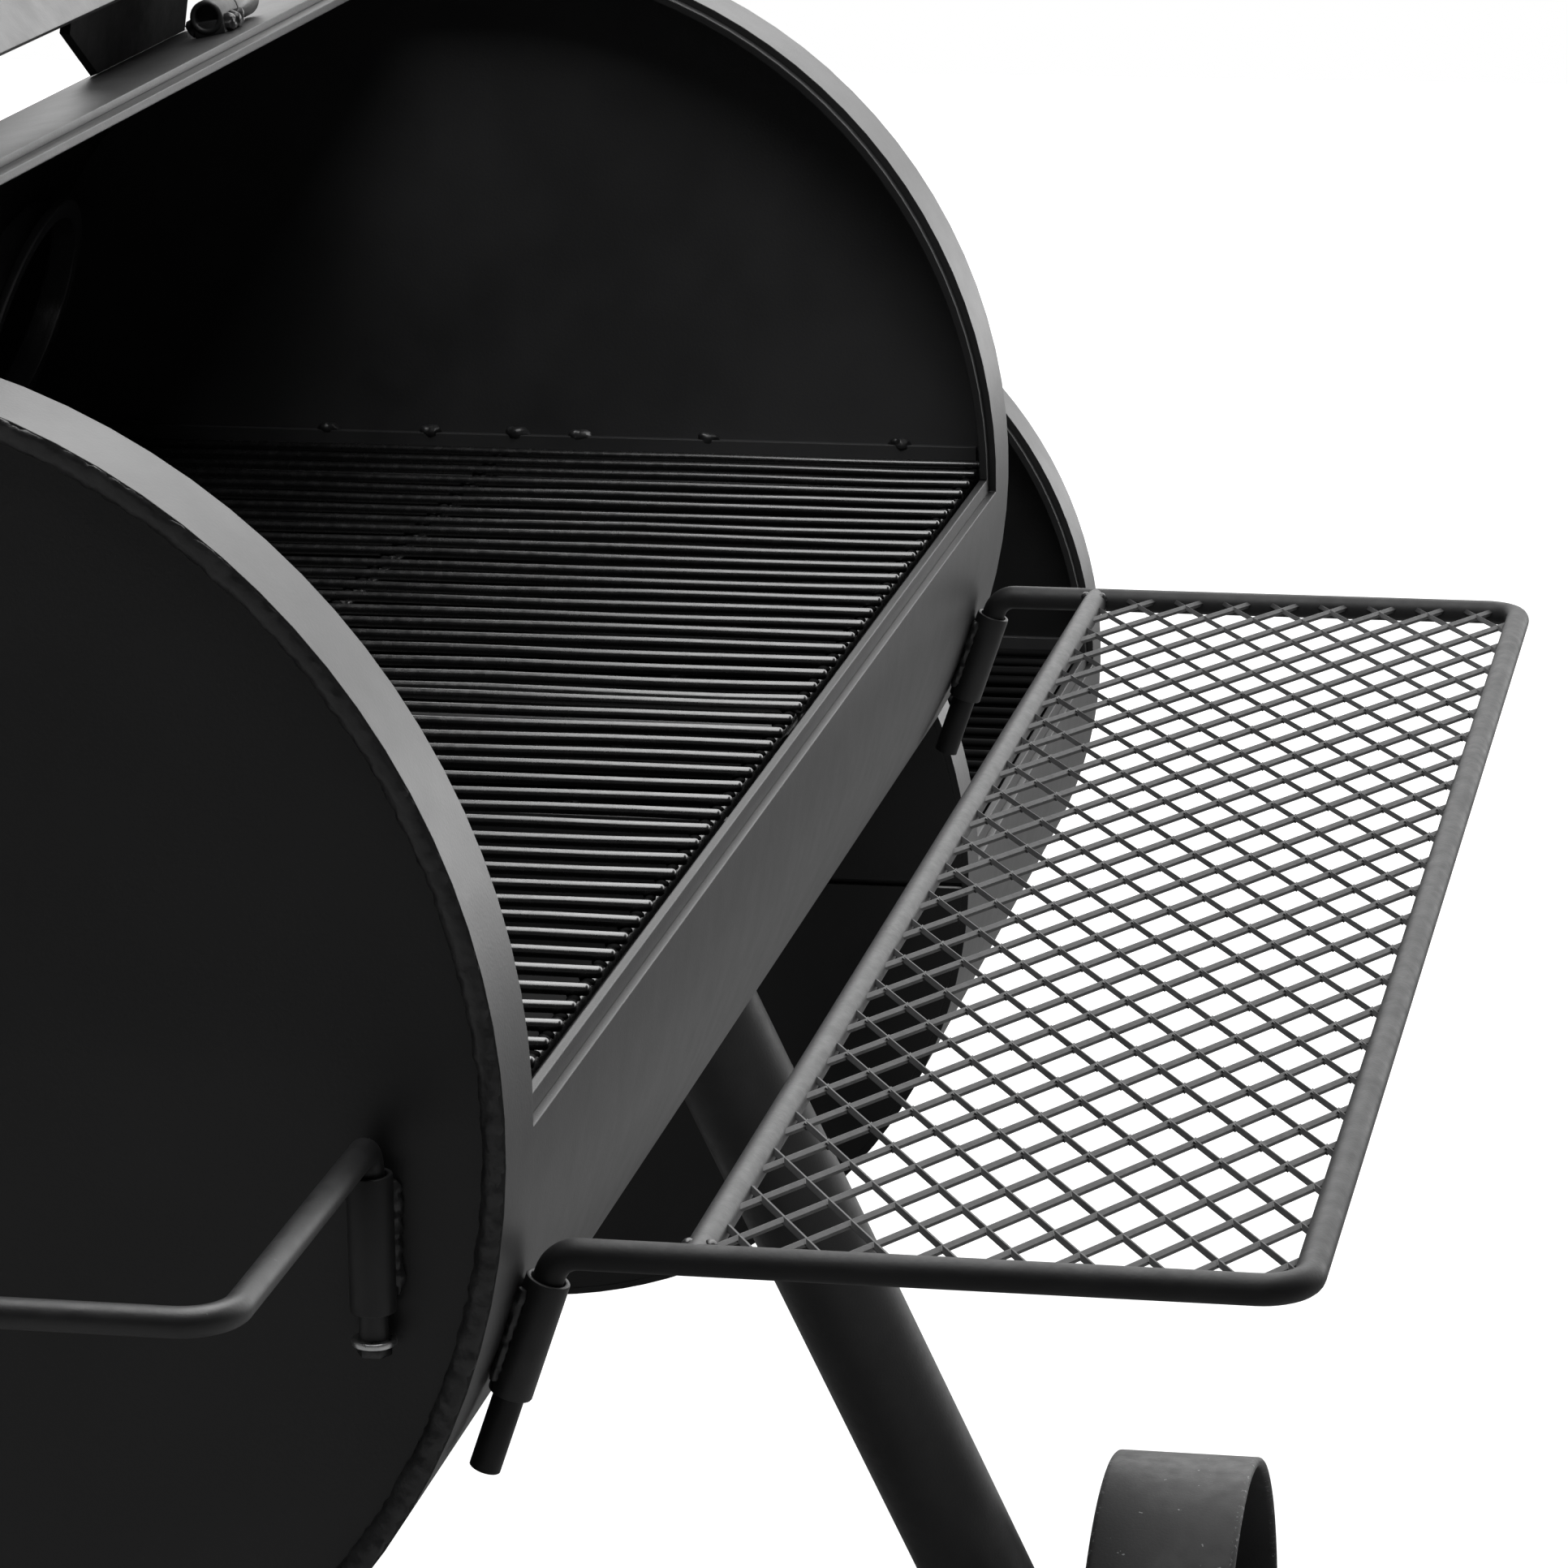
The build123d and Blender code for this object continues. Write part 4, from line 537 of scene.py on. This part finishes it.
def grate(name, node, body, layout, level, material):  # wavy rods on three cross rods, each crossing tacked
    bm = bmesh.new()
    welds = bmesh.new()
    first, last, count, half = layout
    crossLines = (grateRods["crossIn"] - half, 0, half - grateRods["crossIn"])
    stride = 2 * half / grateRods["steps"]
    swayX, swayZ = grateRods["sway"]
    tackX, tackY = grateRods["tackOut"]
    for number in range(count):
        x = first + (last - first) * number / (count - 1)
        ring = ringAt(bm, spot(x, -half, level), backward, grateRods["rod"] * mm, 12)
        for step in range(1, grateRods["steps"] + 1):
            along = Vector((x * grateRods["swayNext"], step * grateRods["swayAlong"], level))
            wander = noise.noise(along) - noise.noise(along - Vector((0, grateRods["swayAlong"], 0)))
            ring = pushRing(bm, ring, Vector((wander * swayX, stride, wander * swayZ)) * mm)
        bmesh.ops.contextual_create(bm, geom=ring)
        for y in crossLines:
            for side in (-1, 1):
                tackSpot = spot(x + side * tackX, y + side * tackY, level - grateRods["tackDrop"])
                blob(welds, tackSpot, grateRods["tack"], x + y + side)
    soften(bm, bm.verts, grateRods["tip"] * mm, 3)
    low = level - grateRods["crossDrop"]
    for y in crossLines:
        ends = [spot(first - grateRods["past"], y, low), spot(last + grateRods["past"], y, low)]
        rod(bm, ends, grateRods["cross"], (), 14)
    keep(name, bm, material, body, (node,))
    keep(name + "Welds", welds, sootAndShadeBlack, body)


grate("leftGrate", "left_grate", "left_grate", (19.6, 498, 27, 211), 0, finish["grate_steel"])
grate("rightGrate", "right_grate", "right_grate", (508, 915, 22, 211), 0, finish["grate_steel"])
grate("fireboxGrate", "firebox_grate", "firebox_grate", (933, 1329, 21, 187), -184, sootAndShadeBlack)
print("grates done")

endWeld = {"radius": 216.1, "x": 2.2, "size": 4.2, "flat": 0.52, "slope": 25, "steps": 900,
           "reach": 219.8}  # round the end plate
bm = bmesh.new()
centre = spot(endWeld["x"], endWeld["radius"], 0)
ring = ringAt(bm, centre, upward, endWeld["size"] * mm, 16, False)
verts = vertsOf(ring)
bmesh.ops.scale(bm, vec=(endWeld["flat"], 1, 1), space=Matrix.Translation(-centre), verts=verts)
bmesh.ops.rotate(bm, cent=centre, matrix=Matrix.Rotation(math.radians(endWeld["slope"]), 3, "Z"), verts=verts)
axisStart = spot(0, 0, 0)
bmesh.ops.spin(bm, geom=verts + ring, cent=axisStart, axis=sideways, angle=2 * math.pi,
               steps=endWeld["steps"], use_merge=True)
bmesh.ops.remove_doubles(bm, verts=bm.verts, dist=0.00001)
for vert in bm.verts:
    out = Vector((0, vert.co.y - axisStart.y, vert.co.z - axisStart.z)).normalized()
    core = axisStart + sideways * endWeld["x"] * mm + out * endWeld["radius"] * mm
    turn = math.atan2(out.z, out.y)
    swell = 1 + 0.03 * math.sin(turn * 190) + 0.10 * noise.noise(core * 60)
    swell += 0.20 * noise.noise(vert.co * 300) + 0.17 * noise.noise(vert.co * 750)
    vert.co = core + (vert.co - core) * swell
    vert.co -= out * max(0, (vert.co - axisStart).dot(out) - endWeld["reach"] * mm)
keep("endWeld", bm, weldPaint, "frame")

ledge = {"tacks": (163.1, 75.8, 30.8, -7.6, -35.3, -92.1, -174.6), "far": (920, 7.2), "spatter": (919.6, 7.8),
         "near": (7.4, 7.2), "firebox": ((927.6, -176.8), (1334.4, -176.8)), "farSize": (2.6, 5.0, 2.8),
         "spatterSize": (1.8, 2.6, 2.2), "plainSize": (2.4, 5.2, 2.6), "spatterOff": 2.4,
         "nearShare": 0.9, "fireboxShare": 0.85}  # tacks along the ledges under the grates
bm = bmesh.new()
for number, y in enumerate(ledge["tacks"]):
    x, z = ledge["far"]
    blob(bm, spot(x, y, z), ledge["farSize"], number * 3.1)
    x, z = ledge["spatter"]
    blob(bm, spot(x, y + ledge["spatterOff"], z), ledge["spatterSize"], number * 5.3)
    x, z = ledge["near"]
    blob(bm, spot(x, y * ledge["nearShare"], z), ledge["plainSize"], number * 2.3)
    for (x, z), seed in zip(ledge["firebox"], (4.1, 1.7)):
        blob(bm, spot(x, y * ledge["fireboxShare"], z), ledge["plainSize"], number * seed)
keep("ledgeTacks", bm, weldPaint, "frame")
print("end welds done")

hinge = {"angle": 101.7, "knuckle": 6.5, "lift": 7, "length": 30, "lug": 22, "gap": 0.5, "pin": 3,
         "open": -124, "strap": (75.5, 26.2), "wall": 3, "clear": 0.4, "play": 0.1, "bore": 4.4,
         "recess": 5.2, "recessShift": 2.5, "footRise": 2.6, "foot": (21, 12.4, 6), "pinPast": 1.5,
         "head": (5.5, 3), "headPast": 2.0, "toe": 6.8, "weld": 2.5, "weldHalf": 9,
         "lump": (2.4, 3.0, 3.0), "lumpStep": 6, "lumpRise": 1.5}
barrels = {"lid": (220, 0, (234, 690), "lid_hinge_leaves"),
           "firebox_lid": (202, 184, (1020, 1242), "firebox_lid_leaves")}
swing = {}
lugs = bmesh.new()
lugWelds = bmesh.new()
for body, (radius, drop, stations, node) in barrels.items():
    pivot = rimSpot(0, radius + hinge["lift"], hinge["angle"], drop)
    opened = Matrix.Rotation(math.radians(hinge["open"]), 4, "X")
    swing[body] = Matrix.Translation(pivot) @ opened @ Matrix.Translation(-pivot)
    leaves = bmesh.new()
    for x in stations:
        middle = rimSpot(x, radius + hinge["lift"], hinge["angle"], drop)
        bore = hinge["pin"] + hinge["play"]
        tube(leaves, middle, sideways, hinge["knuckle"], bore, hinge["length"], 28, 0.8)
        start, sweepAngle = hinge["strap"]
        seat = rimSpot(x, radius + hinge["clear"] + hinge["wall"] / 2, start, drop)
        outward = (seat - spot(x, 0, -drop)).normalized()
        flat = Matrix((sideways, outward, sideways.cross(outward))).transposed().to_4x4()
        scale = Matrix.Diagonal((hinge["length"] * mm, hinge["wall"] * mm, 1, 1))
        strap = Matrix.Translation(seat) @ flat @ scale
        face = bmesh.ops.create_grid(leaves, x_segments=1, y_segments=1, size=0.5, matrix=strap)["verts"]
        ring = bendRing(leaves, edgesOf(face), spot(x, 0, -drop), sideways, -math.radians(sweepAngle), 10)
        bmesh.ops.contextual_create(leaves, geom=ring)
        lugX = x - hinge["length"] / 2 - hinge["gap"] - hinge["lug"] / 2
        lugSpot = rimSpot(lugX, radius + hinge["lift"], hinge["angle"], drop)
        tube(lugs, lugSpot, sideways, hinge["knuckle"], hinge["bore"], hinge["lug"], 28, 0.8, 3)
        plugSpot = lugSpot + sideways * hinge["recessShift"] * mm
        plug(lugs, plugSpot, sideways, hinge["bore"], hinge["lug"] - hinge["recess"], 28)
        foot = rimSpot(lugX, radius + hinge["footRise"], hinge["angle"], drop)
        footOut = (foot - spot(lugX, 0, -drop)).normalized()
        footTurn = Matrix((sideways, sideways.cross(footOut) * -1, footOut)).transposed().to_4x4()
        block(lugs, foot, hinge["foot"], footTurn, 0.8)
        plug(lugs, middle, sideways, hinge["pin"], hinge["length"] + hinge["pinPast"], 20)
        headX = x + hinge["length"] / 2 + hinge["headPast"]
        headSpot = rimSpot(headX, radius + hinge["lift"], hinge["angle"], drop)
        plug(lugs, headSpot, sideways, *hinge["head"], 6, 0.4)
        half = sideways * hinge["weldHalf"] * mm
        for side in (-1, 1):
            toe = foot + footOut.cross(sideways) * side * hinge["toe"] * mm
            bead(lugWelds, toe - half, toe + half, hinge["weld"], x + side)
            for number in range(3):
                along = sideways * (number - 1) * hinge["lumpStep"] * mm
                lumpSpot = toe + along + footOut * hinge["lumpRise"] * mm
                blob(lugWelds, lumpSpot, hinge["lump"], x + number + side * 9)
    bmesh.ops.transform(leaves, matrix=swing[body], verts=leaves.verts)
    keep(body + "Leaves", leaves, finish["lid_paint"], body, (node,))
keep("hingeLugs", lugs, finish["frame_paint"], "frame", ("hinge_lugs",))
keep("lugWelds", lugWelds, weldPaint, "frame")
print("hinges done")

grip = {"radius": 11, "round": 3.4, "bodies": {"lid_handle": "lid", "firebox_handle": "firebox_lid"}}
for node, body in grip["bodies"].items():
    low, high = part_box(node)
    bm = bmesh.new()
    plug(bm, (low + high) / 2, sideways, grip["radius"], (high.x - low.x) / mm, 40, grip["round"], 4)
    keep(node.replace("_h", "H") + "Grip", bm, finish["grip"], body, (node,))

stack = {"x": 858, "angle": 161, "pipe": 44.5, "wall": 2, "seat": 208, "y": 292, "top": 656,
         "collar": (48, 45), "inside": 198, "outside": 243, "ear": (25, 22, 14), "earOut": 55.5,
         "earDrop": 7, "pivotOut": 57, "pivot": (3, 5), "pivotRise": 1, "nut": (9, 2), "nutRise": 4,
         "flangeOut": 5, "flangeGap": 0.4, "flange": 4.2, "flangeIn": 2}
out = rimSpot(0, 1, stack["angle"]) - spot(0, 0, 0)
out.normalize()
root = spot(stack["x"], 0, 0)
seat = root + out * stack["seat"] * mm
elbow = root + out * (stack["y"] * mm / out.y)
bm = bmesh.new()
ring = ringAt(bm, seat, out, stack["pipe"] * mm, 64, False)
ring = pushRing(bm, ring, elbow - seat)
mitre = (out + upward).normalized()
for vert in vertsOf(ring):
    vert.co += out * ((elbow - vert.co).dot(mitre) / out.dot(mitre))
ring = pushRing(bm, ring, upward * 0.4)
for vert in vertsOf(ring):
    vert.co.z = spot(0, 0, stack["top"]).z
bmesh.ops.recalc_face_normals(bm, faces=bm.faces)
bmesh.ops.solidify(bm, geom=bm.faces[:], thickness=stack["wall"] * mm)
top = spot(stack["x"], stack["y"], stack["top"])
block(bm, top + Vector((stack["earOut"], 0, -stack["earDrop"])) * mm, stack["ear"], Matrix(), 3)
plug(bm, top + Vector((stack["pivotOut"], 0, stack["pivotRise"])) * mm, upward, *stack["pivot"], 20)
plug(bm, top + Vector((stack["pivotOut"], 0, stack["nutRise"])) * mm, upward, *stack["nut"], 6, 0.3)
keep("stackPipe", bm, finish["barrel_paint"], "frame", ("smokestack",))
bm = bmesh.new()
outer, inner = stack["collar"]
collarMiddle = root + out * (stack["inside"] + stack["outside"]) / 2 * mm
tube(bm, collarMiddle, out, outer, inner, stack["outside"] - stack["inside"], 64, 0.6)
flangeSpot = root + out * (stack["inside"] + stack["flangeIn"]) * mm
tube(bm, flangeSpot, out, outer + stack["flangeOut"], inner + stack["flangeGap"], stack["flange"], 64, 1.0, 3)
keep("stackCollar", bm, collarPaintedSheen, "frame", ("stack_collar",))
cap = {"disc": (48.5, 2), "rise": 1.5, "arm": (48, 22, 1.94), "armOut": 44, "tab": (28, 16, 1.94),
       "tabOut": 50.5}
bm = bmesh.new()
plug(bm, top + upward * cap["rise"] * mm, upward, *cap["disc"], 64, 0.5)
block(bm, top + Vector((cap["armOut"], 0, cap["rise"])) * mm, cap["arm"], Matrix(), 0.4)
block(bm, top + Vector((-cap["tabOut"], 0, cap["rise"])) * mm, cap["tab"], Matrix(), 0.4)
keep("stackCap", bm, finish["lid_paint"], "stack_cap", ("stack_cap",))
print("stack done")

wheel = {"x": 944, "z": -575, "near": 259.5, "width": 65, "radius": 115, "wall": 4, "hub": (18, 8.1),
         "spokes": 6, "bar": (20, 5), "bite": 3, "cap": (15, 12), "capOut": 331}
for side, node in ((-1, "front_wheel"), (1, "rear_wheel")):
    middle = spot(wheel["x"], side * (wheel["near"] + wheel["width"] / 2), wheel["z"])
    bm = bmesh.new()
    tube(bm, middle, backward, wheel["radius"], wheel["radius"] - wheel["wall"], wheel["width"], 112, 1.7, 3)
    tube(bm, middle, backward, *wheel["hub"], wheel["width"], 40, 1.0)
    for number in range(wheel["spokes"]):
        spin = Matrix.Rotation(math.radians(360 * number / wheel["spokes"]), 4, "Y")
        reach = (wheel["hub"][0] + wheel["radius"] - wheel["wall"]) / 2
        length = wheel["radius"] - wheel["wall"] - wheel["hub"][0] + wheel["bite"]
        block(bm, middle + spin @ Vector((reach * mm, 0, 0)), (length, *wheel["bar"]), spin, 0.8)
    keep(node.replace("_w", "W"), bm, finish["wheel_paint"], node, (node,))
bm = bmesh.new()
for side in (-1, 1):
    plug(bm, spot(wheel["x"], side * wheel["capOut"], wheel["z"]), backward, *wheel["cap"], 40, 3.2, 4)
keep("axleCaps", bm, finish["zinc"], "frame", ("axle_caps",))
pad = {"radius": 34, "height": 8, "round": 2.0}
low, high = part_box("leg_feet")
bm = bmesh.new()
for y in (low.y + pad["radius"] * mm, high.y - pad["radius"] * mm):
    padSpot = Vector(((low.x + high.x) / 2, y, pad["height"] / 2 * mm))
    plug(bm, padSpot, upward, pad["radius"], pad["height"], 48, pad["round"], 3)
keep("legFeet", bm, finish["foot"], "frame", ("leg_feet",))
rack = {"half": 150, "rail": 4, "bar": 2.5, "pitch": 60}
low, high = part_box("bottom_rack")
bm = bmesh.new()
railZ = low.z + rack["rail"] * mm
for side in (-1, 1):
    y = barrelY + side * rack["half"] * mm
    rod(bm, [Vector((low.x, y, railZ)), Vector((high.x, y, railZ))], rack["rail"], (), 18)
barZ = high.z - rack["bar"] * mm
count = int((high.x - low.x) / (rack["pitch"] * mm))
for number in range(count):
    x = (low.x + high.x) / 2 + (number - (count - 1) / 2) * rack["pitch"] * mm
    rod(bm, [Vector((x, low.y, barZ)), Vector((x, high.y, barZ))], rack["bar"], (), 14)
keep("bottomRack", bm, finish["frame_paint"], "frame", ("bottom_rack",))
print("wheels and rack done")

cup = {"x": 330, "top": -320, "height": 66, "base": 38, "wall": 1.2, "bail": 1.5, "bailBend": 10,
       "bailHalf": 42, "bailFlat": 18, "bailFall": 24,
       "profile": ((1.5, 40.5), (3, 42), (58.5, 42), (0.8, 44), (1.4, 45), (0.8, 44.4))}  # rises and radii
drain = {"barrel": 220, "hookDrop": 62, "hook": 2.5, "hookBend": 6, "hookBack": 30, "hookFront": -8,
         "hookLip": 12, "hookBite": 4, "spout": (11, 9, 24), "spoutY": -22, "spoutZ": -230, "clear": 0.3}
bm = bmesh.new()
cupX = spot(cup["x"], 0, 0).x
ring = ringAt(bm, spot(cup["x"], 0, cup["top"] - cup["height"]), upward, cup["base"] * mm, 48)
radius = cup["base"]
for rise, wider in cup["profile"]:
    ring = pushRing(bm, ring, upward * rise * mm)
    for vert in vertsOf(ring):
        vert.co.x = cupX + (vert.co.x - cupX) * (wider / radius)
        vert.co.y = barrelY + (vert.co.y - barrelY) * (wider / radius)
    radius = wider
bmesh.ops.recalc_face_normals(bm, faces=bm.faces)
bmesh.ops.solidify(bm, geom=bm.faces[:], thickness=cup["wall"] * mm)
keep("greaseCup", bm, finish["cup"], "grease_cup", ("grease_cup",), 50)
bm = bmesh.new()
hookZ = -drain["barrel"] - drain["hookDrop"]
bailTop = hookZ + drain["hook"] + drain["clear"] + cup["bail"]
half, flatHalf, shoulder = cup["bailHalf"], cup["bailFlat"], bailTop - cup["bailFall"]
bailPoints = [(-half, cup["top"]), (-half, shoulder), (-flatHalf, bailTop), (flatHalf, bailTop),
              (half, shoulder), (half, cup["top"])]
rod(bm, [spot(cup["x"] + x, 0, z) for x, z in bailPoints], cup["bail"], (cup["bailBend"],) * 4, 14)
keep("cupBail", bm, finish["cup"], "grease_cup", ("cup_bail",))
bm = bmesh.new()
tube(bm, spot(cup["x"], drain["spoutY"], drain["spoutZ"]), upward, *drain["spout"], 36, 0.5)
hookPoints = [(drain["hookBack"], drain["hookBite"] - drain["barrel"]), (drain["hookBack"], hookZ),
              (drain["hookFront"], hookZ), (drain["hookFront"], hookZ + drain["hookLip"])]
rod(bm, [spot(cup["x"], y, z) for y, z in hookPoints], drain["hook"], (drain["hookBend"],) * 2, 16)
keep("drainFittings", bm, finish["frame_paint"], "frame", ("drain_fittings",))

latch = {"pivot": (1338, -113, -279), "plate": (4, 20, 66), "plateAt": (6, 0, 23), "stem": (4.5, 20),
         "stemAt": (17, 0, 46), "knob": (12, 24), "knobAt": (38, 0, 46), "knobRound": 4.5}
pivot = spot(*latch["pivot"])
bm = bmesh.new()
block(bm, pivot + Vector(latch["plateAt"]) * mm, latch["plate"], Matrix(), 0.6)
plug(bm, pivot + Vector(latch["stemAt"]) * mm, sideways, *latch["stem"], 24)
plug(bm, pivot + Vector(latch["knobAt"]) * mm, sideways, *latch["knob"], 40, latch["knobRound"], 5)
keep("doorLatch", bm, finish["lid_paint"], "door_latch", ("latch",))
print("cup and latch done")

gauge = {"x": 462, "angle": 52, "seat": 220.4, "radius": 38, "depth": 16, "wall": 2, "back": 1.9,
         "backRise": 1.05, "backIn": 0.6, "stem": (4, 58)}
dial = {"rise": 3.06, "start": 135, "sweep": 270, "ticks": 40, "each": 5, "long": (0.9, 5, 32.0),
        "short": (0.5, 3, 33.0), "ink": 0.1, "figures": 8, "lowest": 100, "step": 50, "ring": 24,
        "height": 6.2}
face = rimSpot(gauge["x"], gauge["seat"], gauge["angle"])
front = (face - spot(gauge["x"], 0, 0)).normalized()
bm = bmesh.new()
caseMiddle = face + front * gauge["depth"] / 2 * mm
tube(bm, caseMiddle, front, gauge["radius"], gauge["radius"] - gauge["wall"], gauge["depth"], 72, 0.7, 3)
plug(bm, face + front * gauge["backRise"] * mm, front, gauge["radius"] - gauge["backIn"], gauge["back"], 72)
plug(bm, face - front * gauge["stem"][1] / 2 * mm, front, *gauge["stem"], 24, 0.8)
bmesh.ops.transform(bm, matrix=swing["lid"], verts=bm.verts)
keep("gaugeCase", bm, finish["gauge_steel"], "lid", ("gauge_case",))
bm = bmesh.new()
dialFlat = Matrix((sideways, front.cross(sideways), front)).transposed().to_4x4()
dialSpot = Matrix.Translation(face + front * dial["rise"] * mm) @ dialFlat
for number in range(dial["ticks"] + 1):
    turn = Matrix.Rotation(math.radians(dial["start"] - dial["sweep"] / dial["ticks"] * number), 4, "Z")
    width, length, reach = dial["short"] if number % dial["each"] else dial["long"]
    tick = Matrix.Translation(Vector((0, reach, 0)) * mm)
    size = Matrix.Diagonal((width * mm, length * mm, dial["ink"] * mm, 1))
    bmesh.ops.create_cube(bm, size=1, matrix=dialSpot @ turn @ tick @ size)
bmesh.ops.transform(bm, matrix=swing["lid"], verts=bm.verts)
keep("dialTicks", bm, finish["foot"], "lid")
for number in range(dial["figures"] + 1):
    curve = bpy.data.curves.new("figure", "FONT")
    curve.body = str(dial["lowest"] + dial["step"] * number)
    curve.size = dial["height"] * mm
    curve.align_x = "CENTER"
    curve.align_y = "CENTER"
    written = bpy.data.objects.new("figure", curve)
    flatMesh = bpy.data.meshes.new_from_object(written)
    bpy.data.objects.remove(written)
    bm = bmesh.new()
    bm.from_mesh(flatMesh)
    bpy.data.meshes.remove(flatMesh)
    turn = math.radians(dial["start"] - dial["sweep"] / dial["figures"] * number)
    shift = Vector((-math.sin(turn) * dial["ring"], math.cos(turn) * dial["ring"], 0)) * mm
    bmesh.ops.transform(bm, matrix=swing["lid"] @ dialSpot @ Matrix.Translation(shift), verts=bm.verts)
    keep("dialFigure." + str(number), bm, finish["foot"], "lid")
print("gauge done")

view = {"place": (-1577.381, -607.167, 539.469), "azimuth": 10.9925, "elevation": -15.0417, "roll": 0.7438,
        "lens": 139.905}
azimuth, elevation, roll = (math.radians(view[key]) for key in ("azimuth", "elevation", "roll"))
level = math.cos(elevation)
ahead = Vector((level * math.cos(azimuth), level * math.sin(azimuth), math.sin(elevation)))
right = ahead.cross(upward).normalized()
down = ahead.cross(right)
imageRight = math.cos(roll) * right + math.sin(roll) * down
imageUp = math.sin(roll) * right - math.cos(roll) * down
camera = bpy.data.cameras.new("camera")
camera.lens = view["lens"]
camera.sensor_width = 36
camera.clip_start = 0.05
camera.clip_end = 50
cameraObject = bpy.data.objects.new("camera", camera)
cameraTurn = Matrix((imageRight, imageUp, -ahead)).transposed().to_4x4()
cameraObject.matrix_world = Matrix.Translation(spot(*view["place"])) @ cameraTurn
scene.collection.objects.link(cameraObject)
scene.camera = cameraObject

studio = {"panelToward": (0.87, -0.48, -0.10), "panelEdge": (0.86, 0.985), "panelGlow": (0.05, 4.6),
          "backHeight": (-0.05, 0.35), "backGlow": (0.3, 3.4), "backSide": (0.2, 0.7), "softbox": (1.6, 1.1),
          "energy": 32, "lampAt": (420, -120, 1300), "floorHalf": 6, "floorGrey": 0.33, "floorRough": 0.9,
          "fadeFrom": (0.9, 1.9), "fadeTo": (0.80, 1.02)}
scene.view_settings.view_transform = "Standard"
world = bpy.data.worlds.new("studio")
scene.world = world
world.use_nodes = True
tree = world.node_tree
background = tree.nodes["Background"]
background.inputs["Color"].default_value = (1, 1, 1, 1)
coord = tree.nodes.new("ShaderNodeTexCoord")
facing = tree.nodes.new("ShaderNodeVectorMath")
facing.operation = "DOT_PRODUCT"
facing.inputs[1].default_value = studio["panelToward"]
feed(tree, coord.outputs["Generated"], facing.inputs[0])
panelEdge = remap(tree, facing.outputs["Value"], *studio["panelEdge"], 0, 1)
sidePanel = remap(tree, combine(tree, "POWER", panelEdge, 2), 0, 1, *studio["panelGlow"])
split = tree.nodes.new("ShaderNodeSeparateXYZ")
feed(tree, coord.outputs["Generated"], split.inputs["Vector"])
backHeight = remap(tree, split.outputs["Z"], *studio["backHeight"], *studio["backGlow"])
backSide = remap(tree, split.outputs["X"], *studio["backSide"], 0, 1)
backdrop = combine(tree, "MULTIPLY", backHeight, backSide)
glow = combine(tree, "MAXIMUM", sidePanel, backdrop)
rays = tree.nodes.new("ShaderNodeLightPath")
plainWhite = combine(tree, "MAXIMUM", rays.outputs["Is Camera Ray"], rays.outputs["Is Transmission Ray"])
feed(tree, combine(tree, "MAXIMUM", plainWhite, glow), background.inputs["Strength"])

softbox = bpy.data.lights.new("softbox", "AREA")
softbox.shape = "RECTANGLE"
softbox.size, softbox.size_y = studio["softbox"]
softbox.energy = studio["energy"]
lamp = bpy.data.objects.new("softbox", softbox)
lamp.location = spot(*studio["lampAt"])
scene.collection.objects.link(lamp)

bm = bmesh.new()
bmesh.ops.create_grid(bm, x_segments=1, y_segments=1, size=studio["floorHalf"])
floorMesh = bpy.data.meshes.new("floor")
bm.to_mesh(floorMesh)
bm.free()
floor = bpy.data.objects.new("floor", floorMesh)
scene.collection.objects.link(floor)
floor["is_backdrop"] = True
material, tree, shader = newFinish("paleFloor")
floorTone = studio["floorGrey"]
shader.inputs["Base Color"].default_value = (floorTone, floorTone, floorTone, 1)
shader.inputs["Roughness"].default_value = studio["floorRough"]
shine = tree.nodes.new("ShaderNodeEmission")
lift = tree.nodes.new("ShaderNodeAddShader")
rays = tree.nodes.new("ShaderNodeLightPath")
coord = tree.nodes.new("ShaderNodeTexCoord")
reach = tree.nodes.new("ShaderNodeVectorMath")
reach.operation = "LENGTH"
feed(tree, coord.outputs["Object"], reach.inputs[0])
fade = remap(tree, reach.outputs["Value"], *studio["fadeFrom"], *studio["fadeTo"])
plainWhite = combine(tree, "MAXIMUM", rays.outputs["Is Camera Ray"], rays.outputs["Is Transmission Ray"])
feed(tree, combine(tree, "MULTIPLY", plainWhite, fade), shine.inputs["Strength"])
feed(tree, shader.outputs["BSDF"], lift.inputs[0])
feed(tree, shine.outputs["Emission"], lift.inputs[1])
feed(tree, lift.outputs["Shader"], tree.nodes["Material Output"].inputs["Surface"])
floorMesh.materials.append(material)
print("studio done")

low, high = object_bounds()
